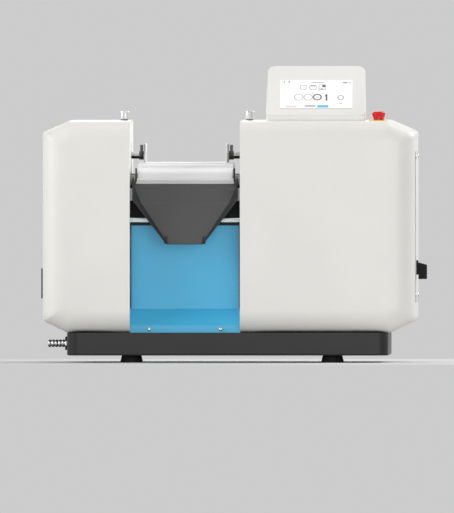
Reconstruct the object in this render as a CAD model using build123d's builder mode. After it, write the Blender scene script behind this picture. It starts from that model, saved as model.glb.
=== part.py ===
from build123d import *
import os
from math import acos, atan2, cos, pi, radians, sin, sqrt, tan

# A benchtop three-roll mill: X to the right, -Y to the front, +Z up, in millimetres.
# The origin is the middle of the whole machine's footprint, on the surface it stands on.

os.makedirs("parts", exist_ok=True)

# Overall sizes
foot_height = 15.0
base_height = 48.0
cover_height = 444.0
cover_depth = 450.0
left_cover_width = 183.0
bay_width = 231.7
right_cover_width = 367.0
vent_reach = 6.0
switch_reach = 24.0

# Fits and small allowances
seat_gap = 0.3
running_gap = 0.05
overrun = 1.0
screw_gap = 0.1

# Base, chassis plate and feet
base_depth = 410.0
base_left_inset = 51.0
base_right_inset = 55.5
base_corner_radius = 25.0
base_edge_radius = 3.0
pan_rim = 3.0
pan_wall = 12.0
pan_floor = 4.0
chassis_thickness = 8.0
foot_top_radius = 17.4
foot_bottom_radius = 21.0
foot_left_inset = 132.4
foot_right_inset = 120.9
foot_spacing_y = 300.0
foot_stud_radius = 4.0
foot_stud_length = 14.0

# Covers
cover_sheet = 3.0
cover_front_radius = 44.0
cover_blend_radius = 8.0
top_chamfer_x = 55.0
top_chamfer_z = 24.0
bottom_chamfer_x = 52.0
bottom_chamfer_z = 25.0
cover_floor_flange = 14.0
cover_floor_margin = 34.0
rear_panel_recess = 3.0
rear_panel_sheet = 2.0
louvre_count = 8
louvre_height = 4.0
louvre_pitch = 14.0
louvre_width_share = 0.5
louvre_height_share = 0.62
skin_sheet = 3.0

# Rollers and their line
roller_radius = 40.0
roller_end_gap = 15.85
roller_nip = 0.1
roller_rise = 4.0
centre_roller_y = -35.0
roller_line_drop = 127.0
roller_wall = 12.0
journal_radius = 16.5
shaft_tail = 12.0
shaft_end = 4.0
bearing_seat_radius = 12.5
gear_seat_radius = 11.0
cooling_bore_radius = 5.0
roller_edge = 1.0

# Side frames, bearing blocks and bearings
frame_thickness = 25.0
frame_gap = 0.5
block_width = 72.0
block_height = 72.0
carriage_travel = 2.0
front_post = 18.0
rear_post = 18.0
frame_top_rail = 46.0
frame_foot_rear_y = 180.0
frame_waist_z = 230.0
bearing_outer_radius = 26.0
bearing_width = 15.0
bearing_lip = 7.0
bearing_lip_radius = 20.0
bearing_ring = 3.5
shield_recess = 0.8
tie_bar_radius = 10.0
tie_bar_shares = [(0.30, 0.40), (0.90, 0.15)]
tray_bar_share = 0.64

# Gear train, belt and motor
gear_module = 2.0
small_teeth = 20
large_teeth = 60
gear_face = 20.0
gear_pressure_angle = 20.0
gear_backlash = 0.15
gear_first_offset = 12.0
gear_row_gap = 4.0
gear_hub_radius = 18.0
gear_rim = 4.0
gear_root_share = 1.25
gear_flank_shares = [0.0, 0.25, 0.5, 0.75, 1.0]
gear_hole_count = 6
gear_hole_share = 0.38
pulley_offset = 8.0
pulley_face = 22.0
pulley_flange = 2.0
pulley_flange_height = 3.0
centre_pulley_radius = 45.0
motor_pulley_radius = 30.0
belt_thickness = 4.0
belt_width = 16.0
motor_y = 60.0
motor_z = 175.0
motor_radius = 62.0
motor_length = 190.0
motor_shaft_radius = 9.5
motor_foot_width = 130.0
motor_foot_height = 12.0
motor_foot_length = 110.0
motor_web_width = 14.0
motor_web_spacing = 80.0
motor_groove_count = 9
motor_groove_width = 6.0
motor_groove_depth = 5.0
motor_groove_pitch = 14.0
motor_groove_start = 45.0
motor_bore_depth = 30.0
motor_box_length = 70.0
motor_box_width = 56.0
motor_box_height = 88.0
motor_pulley_stand = 6.0

# Gap drives
stepper_side = 28.0
stepper_length = 34.0
stepper_edge = 2.5
stepper_bore_depth = 12.0
lead_screw_offset = 3.0
lead_screw_radius = 4.0
lead_screw_hole_radius = 4.4
lead_screw_insert = 5.0
lead_screw_tip_share = 0.2

# Cross beam, drip tray and splash panel
beam_front_y = -170.0
beam_depth = 30.0
beam_drop = 76.0
beam_height = 36.0
tray_sheet = 2.0
tray_lip = 9.0
tray_front_reach = 3.0
tray_rear_y = 84.0
tray_dip = 4.0
tray_rear_rise = 12.0
panel_sheet = 2.0
panel_side_gap = 0.5
panel_face_y = -160.0
panel_front_y = -196.0
panel_top_gap = 1.0
panel_bend_z = 113.0
panel_lip_height = 15.0
dome_screw_radius = 4.2
dome_screw_height = 2.6
dome_screw_shank_radius = 1.9
dome_screw_length = 6.0
dome_round_share = 0.8
panel_screw_spacing = 150.0

# Scraper blade and chute
chute_pitch = 70.0
blade_thickness = 1.2
blade_length = 34.0
blade_side_reach = 2.6
blade_bevel = 3.0
blade_tip_angle = 14.0
blade_clearance = 0.3
blade_show = 12.8
chute_sheet = 2.5
chute_length = 134.0
chute_knee = 8.7
chute_shoulder = 42.7
chute_shoulder_inset = 15.0
chute_side_reach = 7.0
chute_bottom_half = 35.0
chute_wall_height = 17.0
chute_end_wall_height = 12.0
chute_wall_flare = 1.1
chute_end_wall_flare = 5.5
arm_thickness = 3.0
arm_boss_radius = 8.0
arm_ear_rise = 13.0
arm_ear_depth = 26.0
arm_crook_reach = 13.5
arm_crook_drop = 6.0
pivot_y = -160.0
pivot_rise = 10.0
pivot_pin_radius = 5.0
pivot_head_radius = 7.5
pivot_head_height = 2.0
pivot_plate_depth = 16.0
pivot_plate_height = 26.0

# Feed dams
dam_y = 5.0
dam_rise = 54.0
dam_rod_radius = 7.0
dam_rod_reach = 16.5
dam_rod_tail = 6.0
dam_boss_radius = 9.0
dam_boss_length = 9.6
dam_stem_radius = 3.15
dam_stem_height = 22.0
dam_pin_radius = 3.0
dam_pin_head_radius = 5.0
dam_pin_head_height = 2.0
dam_plate_thickness = 6.0
dam_plate_top_rise = 79.0
dam_plate_bottom_rise = 18.0
dam_plate_front_reach = 34.0
dam_plate_rear_reach = 34.0
dam_plate_corner = 12.0
dam_roller_gap = 0.4
dam_slot_length = 18.0

# Hold-down knobs
knob_inset = 15.4
knob_y = 60.0
knob_radius = 10.0
knob_height = 19.5
knob_neck_radius = 7.5
knob_neck_height = 2.5
knob_edge = 1.0
knob_stud_radius = 4.0
knob_stud_engagement = 14.0

# Touch display and its bracket
display_inset_x = 209.0
display_y = -100.0
display_tilt = 45.0
display_width_bottom = 210.0
display_width_top = 204.0
display_thickness = 24.0
display_reach = 143.7
display_corner_radius = 17.0
display_hinge_lift = 1.2
display_pin_radius = 4.0
display_pin_reach = 18.0
display_knuckle_spacing = 108.0
display_knuckle_width = 26.0
display_knuckle_gap = 1.0
display_knuckle_radius = 8.0
display_foot_sheet = 1.0
display_foot_depth = 22.0
display_leg_depth = 6.0
display_notch_front = 1.0
display_round_share = 0.96
display_edge_radius = 3.0
screen_width = 160.0
screen_height = 92.0
screen_glass = 2.0
screen_radius = 3.0
screen_middle_reach = 77.0

# Stop button
estop_inset_x = 77.2
estop_y = -120.0
estop_ring_radius = 20.5
estop_ring_height = 3.0
estop_body_radius = 13.5
estop_body_length = 30.0
estop_stem_radius = 11.0
estop_stem_reach = 11.0
estop_stem_tail = 14.0
estop_head_radius = 15.5
estop_head_neck_radius = 13.5
estop_head_height = 20.5
estop_travel = 4.0
estop_post_radius = 4.0
estop_post_height = 6.0
estop_skirt_share = 0.3
estop_brim_share = 0.55
estop_dome_share = 0.8

# Mains switch
switch_y = -100.0
switch_rise = 136.5
switch_flange_thickness = 4.0
switch_flange_size = 30.0
switch_flange_radius = 4.0
switch_lever_width = 13.0
switch_lever_up = 10.5
switch_lever_down = 24.5
switch_lever_slope = 5.0
switch_lever_edge = 2.0
switch_spindle_radius = 5.0
switch_spindle_length = 22.0
switch_spigot_radius = 11.0
switch_spigot_length = 8.0

# Side access panel and vent
access_panel_bottom_gap = 65.0
access_panel_top_gap = 64.0
access_panel_depth = 330.0
access_panel_sheet = 1.6
access_panel_radius = 6.0
access_panel_screw_inset = 12.0
vent_height = 63.0
vent_width = 150.0
vent_middle_y = 60.0
vent_rise = 102.0
vent_slot_height = 4.0
vent_slot_count = 6
vent_rim = 9.0

# Hose tails
hose_front_y = -120.0
hose_spacing_y = 60.0
hose_z = 40.0
hose_bore_radius = 4.5
hose_core_radius = 6.1
hose_barb_radius = 7.8
hose_barb_count = 5
hose_tail_length = 35.8
hose_nut_radius = 14.0
hose_nut_thickness = 5.0
hose_nut_sides = 6
hose_shank_radius = 8.0

# Electronics and rear
inverter_width = 120.0
inverter_depth = 110.0
inverter_height = 170.0
inverter_inset_x = 26.0
inverter_front_inset = 30.0
inverter_fin_count = 9
inverter_fin_height = 10.0
inlet_width = 50.0
inlet_height = 28.0
inlet_depth = 24.0
inlet_flange = 2.0
inlet_inset_x = 60.0
inlet_z = 110.0
inlet_pin_width = 2.0
inlet_pin_height = 6.0
inlet_pin_length = 15.0
inlet_pin_spacing = 7.0
inlet_pin_drop = 2.0
inlet_well_width = 27.0
inlet_well_height = 19.0
inlet_well_depth = 17.0
inlet_radius = 3.0

# Places along X
overall_length = vent_reach + left_cover_width + bay_width + right_cover_width + switch_reach
left_outer_x = -overall_length / 2 + vent_reach
bay_left_x = left_outer_x + left_cover_width
bay_right_x = bay_left_x + bay_width
right_outer_x = bay_right_x + right_cover_width
bay_middle_x = (bay_left_x + bay_right_x) / 2
base_left_x = left_outer_x + base_left_inset
base_right_x = right_outer_x - base_right_inset
base_middle_x = (base_left_x + base_right_x) / 2
base_length = base_right_x - base_left_x
roller_length = bay_width - 2 * roller_end_gap
chute_top_half = roller_length / 2 + chute_side_reach
roller_left_x = bay_middle_x - roller_length / 2
roller_right_x = bay_middle_x + roller_length / 2
left_skin_x = bay_left_x - skin_sheet
right_skin_x = bay_right_x + skin_sheet
left_frame_x = left_skin_x - frame_gap
right_frame_x = right_skin_x + frame_gap

# Places along Y and Z
front_y = -cover_depth / 2
rear_y = cover_depth / 2
chassis_z = foot_height + base_height
cover_top_z = chassis_z + cover_height
centre_roller_z = cover_top_z - roller_line_drop
beam_bottom_z = centre_roller_z - beam_drop
beam_middle_z = beam_bottom_z + beam_height / 2
beam_top_z = beam_bottom_z + beam_height
pivot_z = beam_top_z + pivot_rise
tray_z = beam_bottom_z - tray_lip
panel_top_z = tray_z - panel_top_gap
dam_z = centre_roller_z + dam_rise
dam_plate_top_z = centre_roller_z + dam_plate_top_rise
dam_plate_bottom_z = centre_roller_z + dam_plate_bottom_rise
switch_z = chassis_z + switch_rise
vent_middle_z = chassis_z + vent_rise
access_panel_height = cover_height - access_panel_bottom_gap - access_panel_top_gap
access_middle_z = chassis_z + access_panel_bottom_gap + access_panel_height / 2
inverter_front_y = -base_depth / 2 + inverter_front_inset
roller_spacing = 2 * roller_radius + roller_nip
apron_y = centre_roller_y - sqrt(roller_spacing**2 - roller_rise**2)
apron_z = centre_roller_z - roller_rise
feed_y = centre_roller_y + roller_spacing
feed_z = centre_roller_z
frame_top_z = centre_roller_z + block_height / 2 + screw_gap + frame_top_rail
window_front_y = apron_y - block_width / 2 - carriage_travel - seat_gap
window_rear_y = feed_y + block_width / 2 + carriage_travel + seat_gap
frame_front_y = window_front_y - front_post
frame_rear_y = window_rear_y + rear_post
roller_axes = {"apron": (apron_y, apron_z), "centre": (centre_roller_y, centre_roller_z)}
roller_axes["feed"] = (feed_y, feed_z)


def finish(part, name):
    """Label one finished piece and write it to its own file."""
    part.label = name
    export_step(part, "parts/" + name + ".step")
    solids = part.solids()
    print(name, len(solids), round(part.volume, 1))


def across(x):
    """A plane that looks along +X at the given place, its own x along Y and its own y along Z."""
    return Plane(origin=(x, 0, 0), x_dir=(0, 1, 0), z_dir=(1, 0, 0))


def along_rear(y):
    """A plane that looks along -Y at the given place, its own x along X and its own y along Z."""
    return Plane(origin=(0, y, 0), x_dir=(1, 0, 0), z_dir=(0, -1, 0))


def outer_face_x(side):
    """The face of a side frame that looks away from the bay; side is -1 on the left and 1 on the right."""
    inner = left_frame_x if side < 0 else right_frame_x
    return inner + side * frame_thickness


def inner_face_x(side):
    """The face of a side frame that looks into the bay."""
    return left_frame_x if side < 0 else right_frame_x


# Base pan: an open cast tray with a seat for the chassis plate, bored for the hose tails and feet
base_bottom_z = foot_height
foot_places = []
for foot_x in (base_left_x + foot_left_inset, base_right_x - foot_right_inset):
    for foot_y in (-foot_spacing_y / 2, foot_spacing_y / 2):
        foot_places.append((foot_x, foot_y))
hose_ys = [hose_front_y, hose_front_y + hose_spacing_y]

with BuildPart() as base_pan:
    with BuildSketch(Plane.XY.offset(base_bottom_z)):
        with Locations((base_middle_x, 0)):
            RectangleRounded(base_length, base_depth, base_corner_radius)
    extrude(amount=base_height)
    fillet(base_pan.edges().group_by(Axis.Z)[0], base_edge_radius)
    with BuildSketch(Plane.XY.offset(chassis_z)):
        with Locations((base_middle_x, 0)):
            RectangleRounded(base_length - 2 * pan_rim, base_depth - 2 * pan_rim, base_corner_radius - pan_rim)
    extrude(amount=-chassis_thickness, mode=Mode.SUBTRACT)
    with BuildSketch(Plane.XY.offset(base_bottom_z + pan_floor)):
        with Locations((base_middle_x, 0)):
            RectangleRounded(
                base_length - 2 * pan_wall, base_depth - 2 * pan_wall, base_corner_radius - pan_wall
            )
    extrude(amount=base_height, mode=Mode.SUBTRACT)
    with BuildSketch(Plane.XY.offset(base_bottom_z)):
        with Locations(*foot_places):
            Circle(foot_stud_radius + screw_gap)
    extrude(amount=pan_floor, mode=Mode.SUBTRACT)
    with BuildSketch(across(base_left_x)):
        with Locations(*[(y, hose_z) for y in hose_ys]):
            Circle(hose_shank_radius + screw_gap)
    extrude(amount=pan_wall, mode=Mode.SUBTRACT)
finish(base_pan.part, "base_pan")

with BuildPart() as chassis_plate:
    with BuildSketch(Plane.XY.offset(chassis_z)):
        with Locations((base_middle_x, 0)):
            RectangleRounded(base_length - 2 * pan_rim, base_depth - 2 * pan_rim, base_corner_radius - pan_rim)
    extrude(amount=-chassis_thickness)
finish(chassis_plate.part, "chassis_plate")

with BuildPart() as rubber_feet:
    with Locations(*[(x, y, 0) for x, y in foot_places]):
        Cone(foot_bottom_radius, foot_top_radius, foot_height, align=(Align.CENTER, Align.CENTER, Align.MIN))
    with Locations(*[(x, y, foot_height) for x, y in foot_places]):
        Cylinder(foot_stud_radius, foot_stud_length, align=(Align.CENTER, Align.CENTER, Align.MIN))
finish(rubber_feet.part, "rubber_feet")


# Side frames: a thick plate each, with a window for every bearing block
window_travel = {"apron": (carriage_travel, 0), "centre": (0, 0), "feed": (0, carriage_travel)}
tray_bar_y = frame_front_y + tray_bar_share * (frame_foot_rear_y - frame_front_y)
tie_bar_places = [(tray_bar_y, tray_z - tie_bar_radius)]
for depth_share, height_share in tie_bar_shares:
    bar_y = frame_front_y + depth_share * (frame_foot_rear_y - frame_front_y)
    bar_z = chassis_z + height_share * (frame_top_z - chassis_z)
    tie_bar_places.append((bar_y, bar_z))
beam_middle_y = beam_front_y + beam_depth / 2
screw_post_ys = {"apron": (frame_front_y, window_front_y), "feed": (window_rear_y, frame_rear_y)}


def lead_screw_x(side):
    """The lead screws stand a little outwards of the frame's middle, clear of the bay's skin."""
    return (inner_face_x(side) + outer_face_x(side)) / 2 + side * lead_screw_offset


def knob_x(side):
    """A hold-down knob stands over the middle of its side frame."""
    return bay_left_x - knob_inset if side < 0 else bay_right_x + knob_inset


def side_frame(side):
    """One side frame, standing on the chassis plate."""
    slope = frame_foot_rear_y - frame_rear_y
    with BuildPart() as frame:
        with BuildSketch(across(inner_face_x(side))):
            with BuildLine():
                Polyline(
                    (frame_front_y, chassis_z),
                    (frame_foot_rear_y, chassis_z),
                    (frame_foot_rear_y, frame_waist_z),
                    (frame_rear_y, frame_waist_z + slope),
                    (frame_rear_y, frame_top_z),
                    (frame_front_y, frame_top_z),
                    close=True,
                )
            make_face()
            for name, (axis_y, axis_z) in roller_axes.items():
                front_travel, rear_travel = window_travel[name]
                gap = 0 if name == "centre" else seat_gap
                top_gap = 0 if name == "centre" else screw_gap
                window_front = axis_y - block_width / 2 - front_travel - gap
                window_rear = axis_y + block_width / 2 + rear_travel + gap
                with Locations(((window_front + window_rear) / 2, axis_z)):
                    window_width = window_rear - window_front
                    Rectangle(window_width, block_height + 2 * top_gap, mode=Mode.SUBTRACT)
            with Locations(*tie_bar_places):
                Circle(tie_bar_radius, mode=Mode.SUBTRACT)
            with Locations((dam_y, dam_z)):
                Circle(dam_rod_radius + running_gap, mode=Mode.SUBTRACT)
        extrude(amount=side * frame_thickness)
        for name, (post_front, post_rear) in screw_post_ys.items():
            screw_z = roller_axes[name][1]
            post_plane = Plane(origin=(lead_screw_x(side), post_front, screw_z), z_dir=(0, 1, 0))
            with BuildSketch(post_plane):
                Circle(lead_screw_radius + running_gap)
            extrude(amount=post_rear - post_front, mode=Mode.SUBTRACT)
        knob_plane = Plane(origin=(knob_x(side), knob_y, frame_top_z))
        with BuildSketch(knob_plane):
            Circle(knob_stud_radius + running_gap)
        extrude(amount=-(knob_stud_engagement + seat_gap), mode=Mode.SUBTRACT)
    return frame.part


finish(side_frame(-1), "left_side_frame")
finish(side_frame(1), "right_side_frame")

# Tie bars run from the outer face of one frame to the outer face of the other
with BuildPart() as frame_tie_bars:
    with BuildSketch(across(outer_face_x(-1))):
        with Locations(*tie_bar_places):
            Circle(tie_bar_radius)
    extrude(amount=outer_face_x(1) - outer_face_x(-1))
finish(frame_tie_bars.part, "frame_tie_bars")

# Cross beam below the apron roller, from one side frame to the other
with BuildPart() as cross_beam:
    with BuildSketch(across(inner_face_x(-1))):
        with Locations((beam_middle_y, beam_middle_z)):
            Rectangle(beam_depth, beam_height)
    extrude(amount=inner_face_x(1) - inner_face_x(-1))
finish(cross_beam.part, "cross_beam")

# Drip tray: a sheet under the rollers with a lip along its front that dips towards the middle
tray_width = bay_width - 2 * panel_side_gap
tray_front_y = beam_front_y - tray_front_reach
with BuildPart() as drip_tray:
    with BuildSketch(across(bay_left_x + panel_side_gap)):
        with BuildLine():
            bend = Polyline(
                (tray_front_y, beam_bottom_z),
                (tray_front_y, tray_z),
                (tray_rear_y, tray_z),
                (tray_rear_y, tray_z + tray_rear_rise),
            )
            offset(amount=tray_sheet, side=Side.LEFT, kind=Kind.INTERSECTION)
        make_face()
    extrude(amount=tray_width)
    with BuildSketch(along_rear(tray_front_y + tray_sheet)):
        with BuildLine():
            dip = ThreePointArc(
                (bay_left_x + panel_side_gap, beam_bottom_z),
                (bay_middle_x, beam_bottom_z - tray_dip),
                (bay_right_x - panel_side_gap, beam_bottom_z),
            )
            Line(dip @ 1, dip @ 0)
        make_face()
    extrude(amount=2 * tray_sheet, mode=Mode.SUBTRACT)
finish(drip_tray.part, "drip_tray")

# Splash panel: an upright sheet below the tray, bent forwards to a sloped floor and a lip
with BuildPart() as splash_panel:
    with BuildSketch(across(bay_left_x + panel_side_gap)):
        with BuildLine():
            Polyline(
                (panel_face_y, panel_top_z),
                (panel_face_y, panel_bend_z),
                (panel_front_y, chassis_z + panel_lip_height),
                (panel_front_y, chassis_z),
            )
            offset(amount=panel_sheet, side=Side.LEFT, kind=Kind.INTERSECTION)
        make_face()
    extrude(amount=tray_width)
    lip_plane = along_rear(panel_front_y + overrun + panel_sheet)
    with BuildSketch(lip_plane):
        with Locations(*[(bay_middle_x + s * panel_screw_spacing / 2, chassis_z + panel_lip_height / 2)
                         for s in (-1, 1)]):
            Circle(dome_screw_shank_radius)
    extrude(amount=2 * panel_sheet + overrun, mode=Mode.SUBTRACT)
finish(splash_panel.part, "splash_panel")


# Bearing blocks: one in each frame for every roller, bored for a ball bearing from outside
block_sides = (-1, 1)
screw_front = {"apron": 1, "feed": -1}


def bearing_blocks(name):
    """The left and right block of one roller."""
    axis_y, axis_z = roller_axes[name]
    with BuildPart() as blocks:
        for side in block_sides:
            with BuildSketch(across(inner_face_x(side))):
                with Locations((axis_y, axis_z)):
                    Rectangle(block_width, block_height)
                    Circle(bearing_lip_radius, mode=Mode.SUBTRACT)
            extrude(amount=side * frame_thickness)
            with BuildSketch(across(outer_face_x(side))):
                with Locations((axis_y, axis_z)):
                    Circle(bearing_outer_radius)
            extrude(amount=-side * (frame_thickness - bearing_lip), mode=Mode.SUBTRACT)
            if name in screw_front:
                inward = screw_front[name]
                mouth_y = axis_y - inward * block_width / 2
                mouth = Plane(origin=(lead_screw_x(side), mouth_y, axis_z), z_dir=(0, inward, 0))
                with BuildSketch(mouth):
                    Circle(lead_screw_hole_radius)
                extrude(amount=lead_screw_insert + carriage_travel + seat_gap, mode=Mode.SUBTRACT)
    return blocks.part


def bearings(name):
    """The left and right ball bearing of one roller, closed by recessed shields."""
    axis_y, axis_z = roller_axes[name]
    shield_outer = bearing_outer_radius - bearing_ring
    shield_inner = bearing_seat_radius + bearing_ring
    with BuildPart() as rings:
        for side in block_sides:
            near = inner_face_x(side) + side * bearing_lip
            with BuildSketch(across(near)):
                with Locations((axis_y, axis_z)):
                    Circle(bearing_outer_radius)
                    Circle(bearing_seat_radius + running_gap, mode=Mode.SUBTRACT)
            extrude(amount=side * bearing_width)
            with BuildSketch(across(near + side * bearing_width)):
                with Locations((axis_y, axis_z)):
                    Circle(shield_outer)
                    Circle(shield_inner, mode=Mode.SUBTRACT)
            extrude(amount=-side * shield_recess, mode=Mode.SUBTRACT)
    return rings.part


# Rollers: a hollow polished barrel between a plain left end and a stepped drive end
row_a_x = outer_face_x(1) + gear_first_offset
row_b_x = row_a_x + gear_face + gear_row_gap
pulley_x = row_b_x + gear_face + pulley_offset
drive_end_x = {
    "apron": row_b_x + gear_face + shaft_end,
    "centre": pulley_x + pulley_face + shaft_end,
    "feed": row_a_x + gear_face + shaft_end,
}


def roller(name):
    """One roller with its journals, bored for cooling water from the left."""
    axis_y, axis_z = roller_axes[name]
    left_end_x = outer_face_x(-1) - shaft_tail
    left_shoulder_x = inner_face_x(-1) - bearing_lip + seat_gap
    right_shoulder_x = inner_face_x(1) + bearing_lip - seat_gap
    seat_end_x = outer_face_x(1)
    steps = [
        (left_end_x, left_shoulder_x, bearing_seat_radius),
        (left_shoulder_x, roller_left_x, journal_radius),
        (roller_left_x, roller_right_x, roller_radius),
        (roller_right_x, right_shoulder_x, journal_radius),
        (right_shoulder_x, seat_end_x, bearing_seat_radius),
        (seat_end_x, drive_end_x[name], gear_seat_radius),
    ]
    with BuildPart() as barrel:
        for start_x, end_x, radius in steps:
            with BuildSketch(across(start_x)):
                with Locations((axis_y, axis_z)):
                    Circle(radius)
            extrude(amount=end_x - start_x)
        rims = barrel.edges().filter_by(GeomType.CIRCLE).filter_by(lambda e: e.radius > journal_radius)
        fillet(rims, roller_edge)
        with BuildSketch(across(roller_left_x + roller_wall)):
            with Locations((axis_y, axis_z)):
                Circle(roller_radius - roller_wall)
        extrude(amount=roller_length - 2 * roller_wall, mode=Mode.SUBTRACT)
        with BuildSketch(across(left_end_x)):
            with Locations((axis_y, axis_z)):
                Circle(cooling_bore_radius)
        extrude(amount=roller_left_x + 2 * roller_wall - left_end_x, mode=Mode.SUBTRACT)
    return barrel.part


for roller_name in roller_axes:
    finish(bearing_blocks(roller_name), roller_name + "_bearing_blocks")
    finish(bearings(roller_name), roller_name + "_bearings")
    finish(roller(roller_name), roller_name + "_roller")


# Gears: involute spur gears, thinned a little for backlash
def gear_outline(teeth, pitch_radius, tooth_angle, centre):
    """The closed line round one gear, a tooth's middle at the given angle."""
    pressure = radians(gear_pressure_angle)
    base_radius = pitch_radius * cos(pressure)
    tip_radius = pitch_radius + gear_module
    root_radius = pitch_radius - gear_root_share * gear_module
    start_radius = max(base_radius, root_radius)
    thickness = pi * gear_module / 2 - gear_backlash
    pitch_roll = tan(pressure) - pressure

    def flank_angle(radius):
        """Half of the tooth's angle at a radius."""
        roll = acos(min(1, base_radius / radius))
        return thickness / (2 * pitch_radius) + pitch_roll - (tan(roll) - roll)

    def point(radius, angle):
        """A point of the outline, in the sketch's own x and y."""
        return (centre[0] + radius * cos(angle), centre[1] + radius * sin(angle))

    radii = [start_radius + (tip_radius - start_radius) * share for share in gear_flank_shares]
    step = 2 * pi / teeth
    with BuildLine() as outline:
        for index in range(teeth):
            middle = tooth_angle + index * step
            rising = [point(radius, middle - flank_angle(radius)) for radius in radii]
            falling = [point(radius, middle + flank_angle(radius)) for radius in reversed(radii)]
            foot_before = point(root_radius, middle - flank_angle(start_radius))
            foot_after = point(root_radius, middle + flank_angle(start_radius))
            next_foot = point(root_radius, middle + step - flank_angle(start_radius))
            if root_radius < start_radius:
                Line(foot_before, rising[0])
                Line(falling[-1], foot_after)
            else:
                foot_after = falling[-1]
            Spline(*rising)
            ThreePointArc(rising[-1], point(tip_radius, middle), falling[0])
            Spline(*falling)
            ThreePointArc(foot_after, point(root_radius, middle + step / 2), next_foot)
    return outline.line.edges()


def gear(start_x, teeth, tooth_angle, centre):
    """One spur gear bored for its shaft, with lightening holes in a large one."""
    pitch_radius = gear_module * teeth / 2
    rim_radius = pitch_radius - gear_rim * gear_module
    with BuildPart() as wheel:
        with BuildSketch(across(start_x)):
            make_face(gear_outline(teeth, pitch_radius, tooth_angle, centre))
            with Locations(centre):
                Circle(gear_seat_radius, mode=Mode.SUBTRACT)
        extrude(amount=gear_face)
        if rim_radius > 2 * gear_hub_radius:
            hole_radius = (rim_radius - gear_hub_radius) * gear_hole_share
            hole_ring_radius = (rim_radius + gear_hub_radius) / 2
            with BuildSketch(across(start_x)):
                with Locations(centre):
                    with PolarLocations(hole_ring_radius, gear_hole_count):
                        Circle(hole_radius)
            extrude(amount=gear_face, mode=Mode.SUBTRACT)
    return wheel.part


centre_axis = (centre_roller_y, centre_roller_z)
feed_axis = (feed_y, feed_z)
apron_axis = (apron_y, apron_z)
half_large_tooth = pi / large_teeth
apron_line_angle = atan2(centre_roller_z - apron_z, centre_roller_y - apron_y)

finish(gear(row_a_x, large_teeth, pi + half_large_tooth, feed_axis), "feed_gear")
centre_pair = gear(row_a_x, small_teeth, 0, centre_axis)
centre_large = gear(row_b_x, large_teeth, apron_line_angle + pi + half_large_tooth, centre_axis)
finish(Compound(children=[centre_pair, centre_large]), "centre_gears")
finish(gear(row_b_x, small_teeth, apron_line_angle, apron_axis), "apron_gear")

# Pulleys and the belt between them
motor_axis = (motor_y, motor_z)


def pulley(centre, radius, bore_radius):
    """A flat belt pulley with a flange on each side."""
    with BuildPart() as wheel:
        with BuildSketch(across(pulley_x)):
            with Locations(centre):
                Circle(radius)
        extrude(amount=pulley_face)
        for flange_x in (pulley_x, pulley_x + pulley_face - pulley_flange):
            with BuildSketch(across(flange_x)):
                with Locations(centre):
                    Circle(radius + pulley_flange_height)
            extrude(amount=pulley_flange)
        with BuildSketch(across(pulley_x)):
            with Locations(centre):
                Circle(bore_radius)
        extrude(amount=pulley_face, mode=Mode.SUBTRACT)
    return wheel.part


finish(pulley(centre_axis, centre_pulley_radius, gear_seat_radius), "centre_pulley")
finish(pulley(motor_axis, motor_pulley_radius, motor_shaft_radius), "motor_pulley")

with BuildPart() as drive_belt:
    with BuildSketch(across(pulley_x + (pulley_face - belt_width) / 2)):
        with Locations(centre_axis):
            Circle(centre_pulley_radius + seat_gap + belt_thickness)
        with Locations(motor_axis):
            Circle(motor_pulley_radius + seat_gap + belt_thickness)
        make_hull()
    extrude(amount=belt_width)
    with BuildSketch(across(pulley_x + (pulley_face - belt_width) / 2)):
        with Locations(centre_axis):
            Circle(centre_pulley_radius + seat_gap)
        with Locations(motor_axis):
            Circle(motor_pulley_radius + seat_gap)
        make_hull()
    extrude(amount=belt_width, mode=Mode.SUBTRACT)
finish(drive_belt.part, "drive_belt")

# Motor: a ribbed barrel on two webs and a foot plate, with its terminal box on top
motor_face_x = pulley_x + pulley_face + motor_pulley_stand
motor_end_x = motor_face_x + motor_length
with BuildPart() as drive_motor:
    with BuildSketch(across(motor_face_x)):
        with Locations(motor_axis):
            Circle(motor_radius)
    extrude(amount=motor_length)
    for groove in range(motor_groove_count):
        with BuildSketch(across(motor_face_x + motor_groove_start + groove * motor_groove_pitch)):
            with Locations(motor_axis):
                Circle(motor_radius)
                Circle(motor_radius - motor_groove_depth, mode=Mode.SUBTRACT)
        extrude(amount=motor_groove_width, mode=Mode.SUBTRACT)
    foot_x = motor_face_x + (motor_length - motor_foot_length) / 2
    with BuildSketch(across(foot_x)):
        with Locations((motor_y, chassis_z + motor_foot_height / 2)):
            Rectangle(motor_foot_width, motor_foot_height)
        with Locations(*[(motor_y + s * motor_web_spacing / 2, (chassis_z + motor_z) / 2) for s in (-1, 1)]):
            Rectangle(motor_web_width, motor_z - chassis_z)
    extrude(amount=motor_foot_length)
    box_x = motor_end_x - motor_box_length - motor_groove_pitch
    with BuildSketch(across(box_x)):
        with Locations((motor_y, motor_z + motor_box_height / 2)):
            Rectangle(motor_box_width, motor_box_height)
    extrude(amount=motor_box_length)
    with BuildSketch(across(motor_face_x)):
        with Locations(motor_axis):
            Circle(motor_shaft_radius + running_gap)
    extrude(amount=motor_bore_depth, mode=Mode.SUBTRACT)
finish(drive_motor.part, "drive_motor")

with BuildPart() as motor_shaft:
    with BuildSketch(across(pulley_x)):
        with Locations(motor_axis):
            Circle(motor_shaft_radius)
    extrude(amount=motor_face_x + motor_bore_depth - seat_gap - pulley_x)
finish(motor_shaft.part, "motor_shaft")

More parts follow.
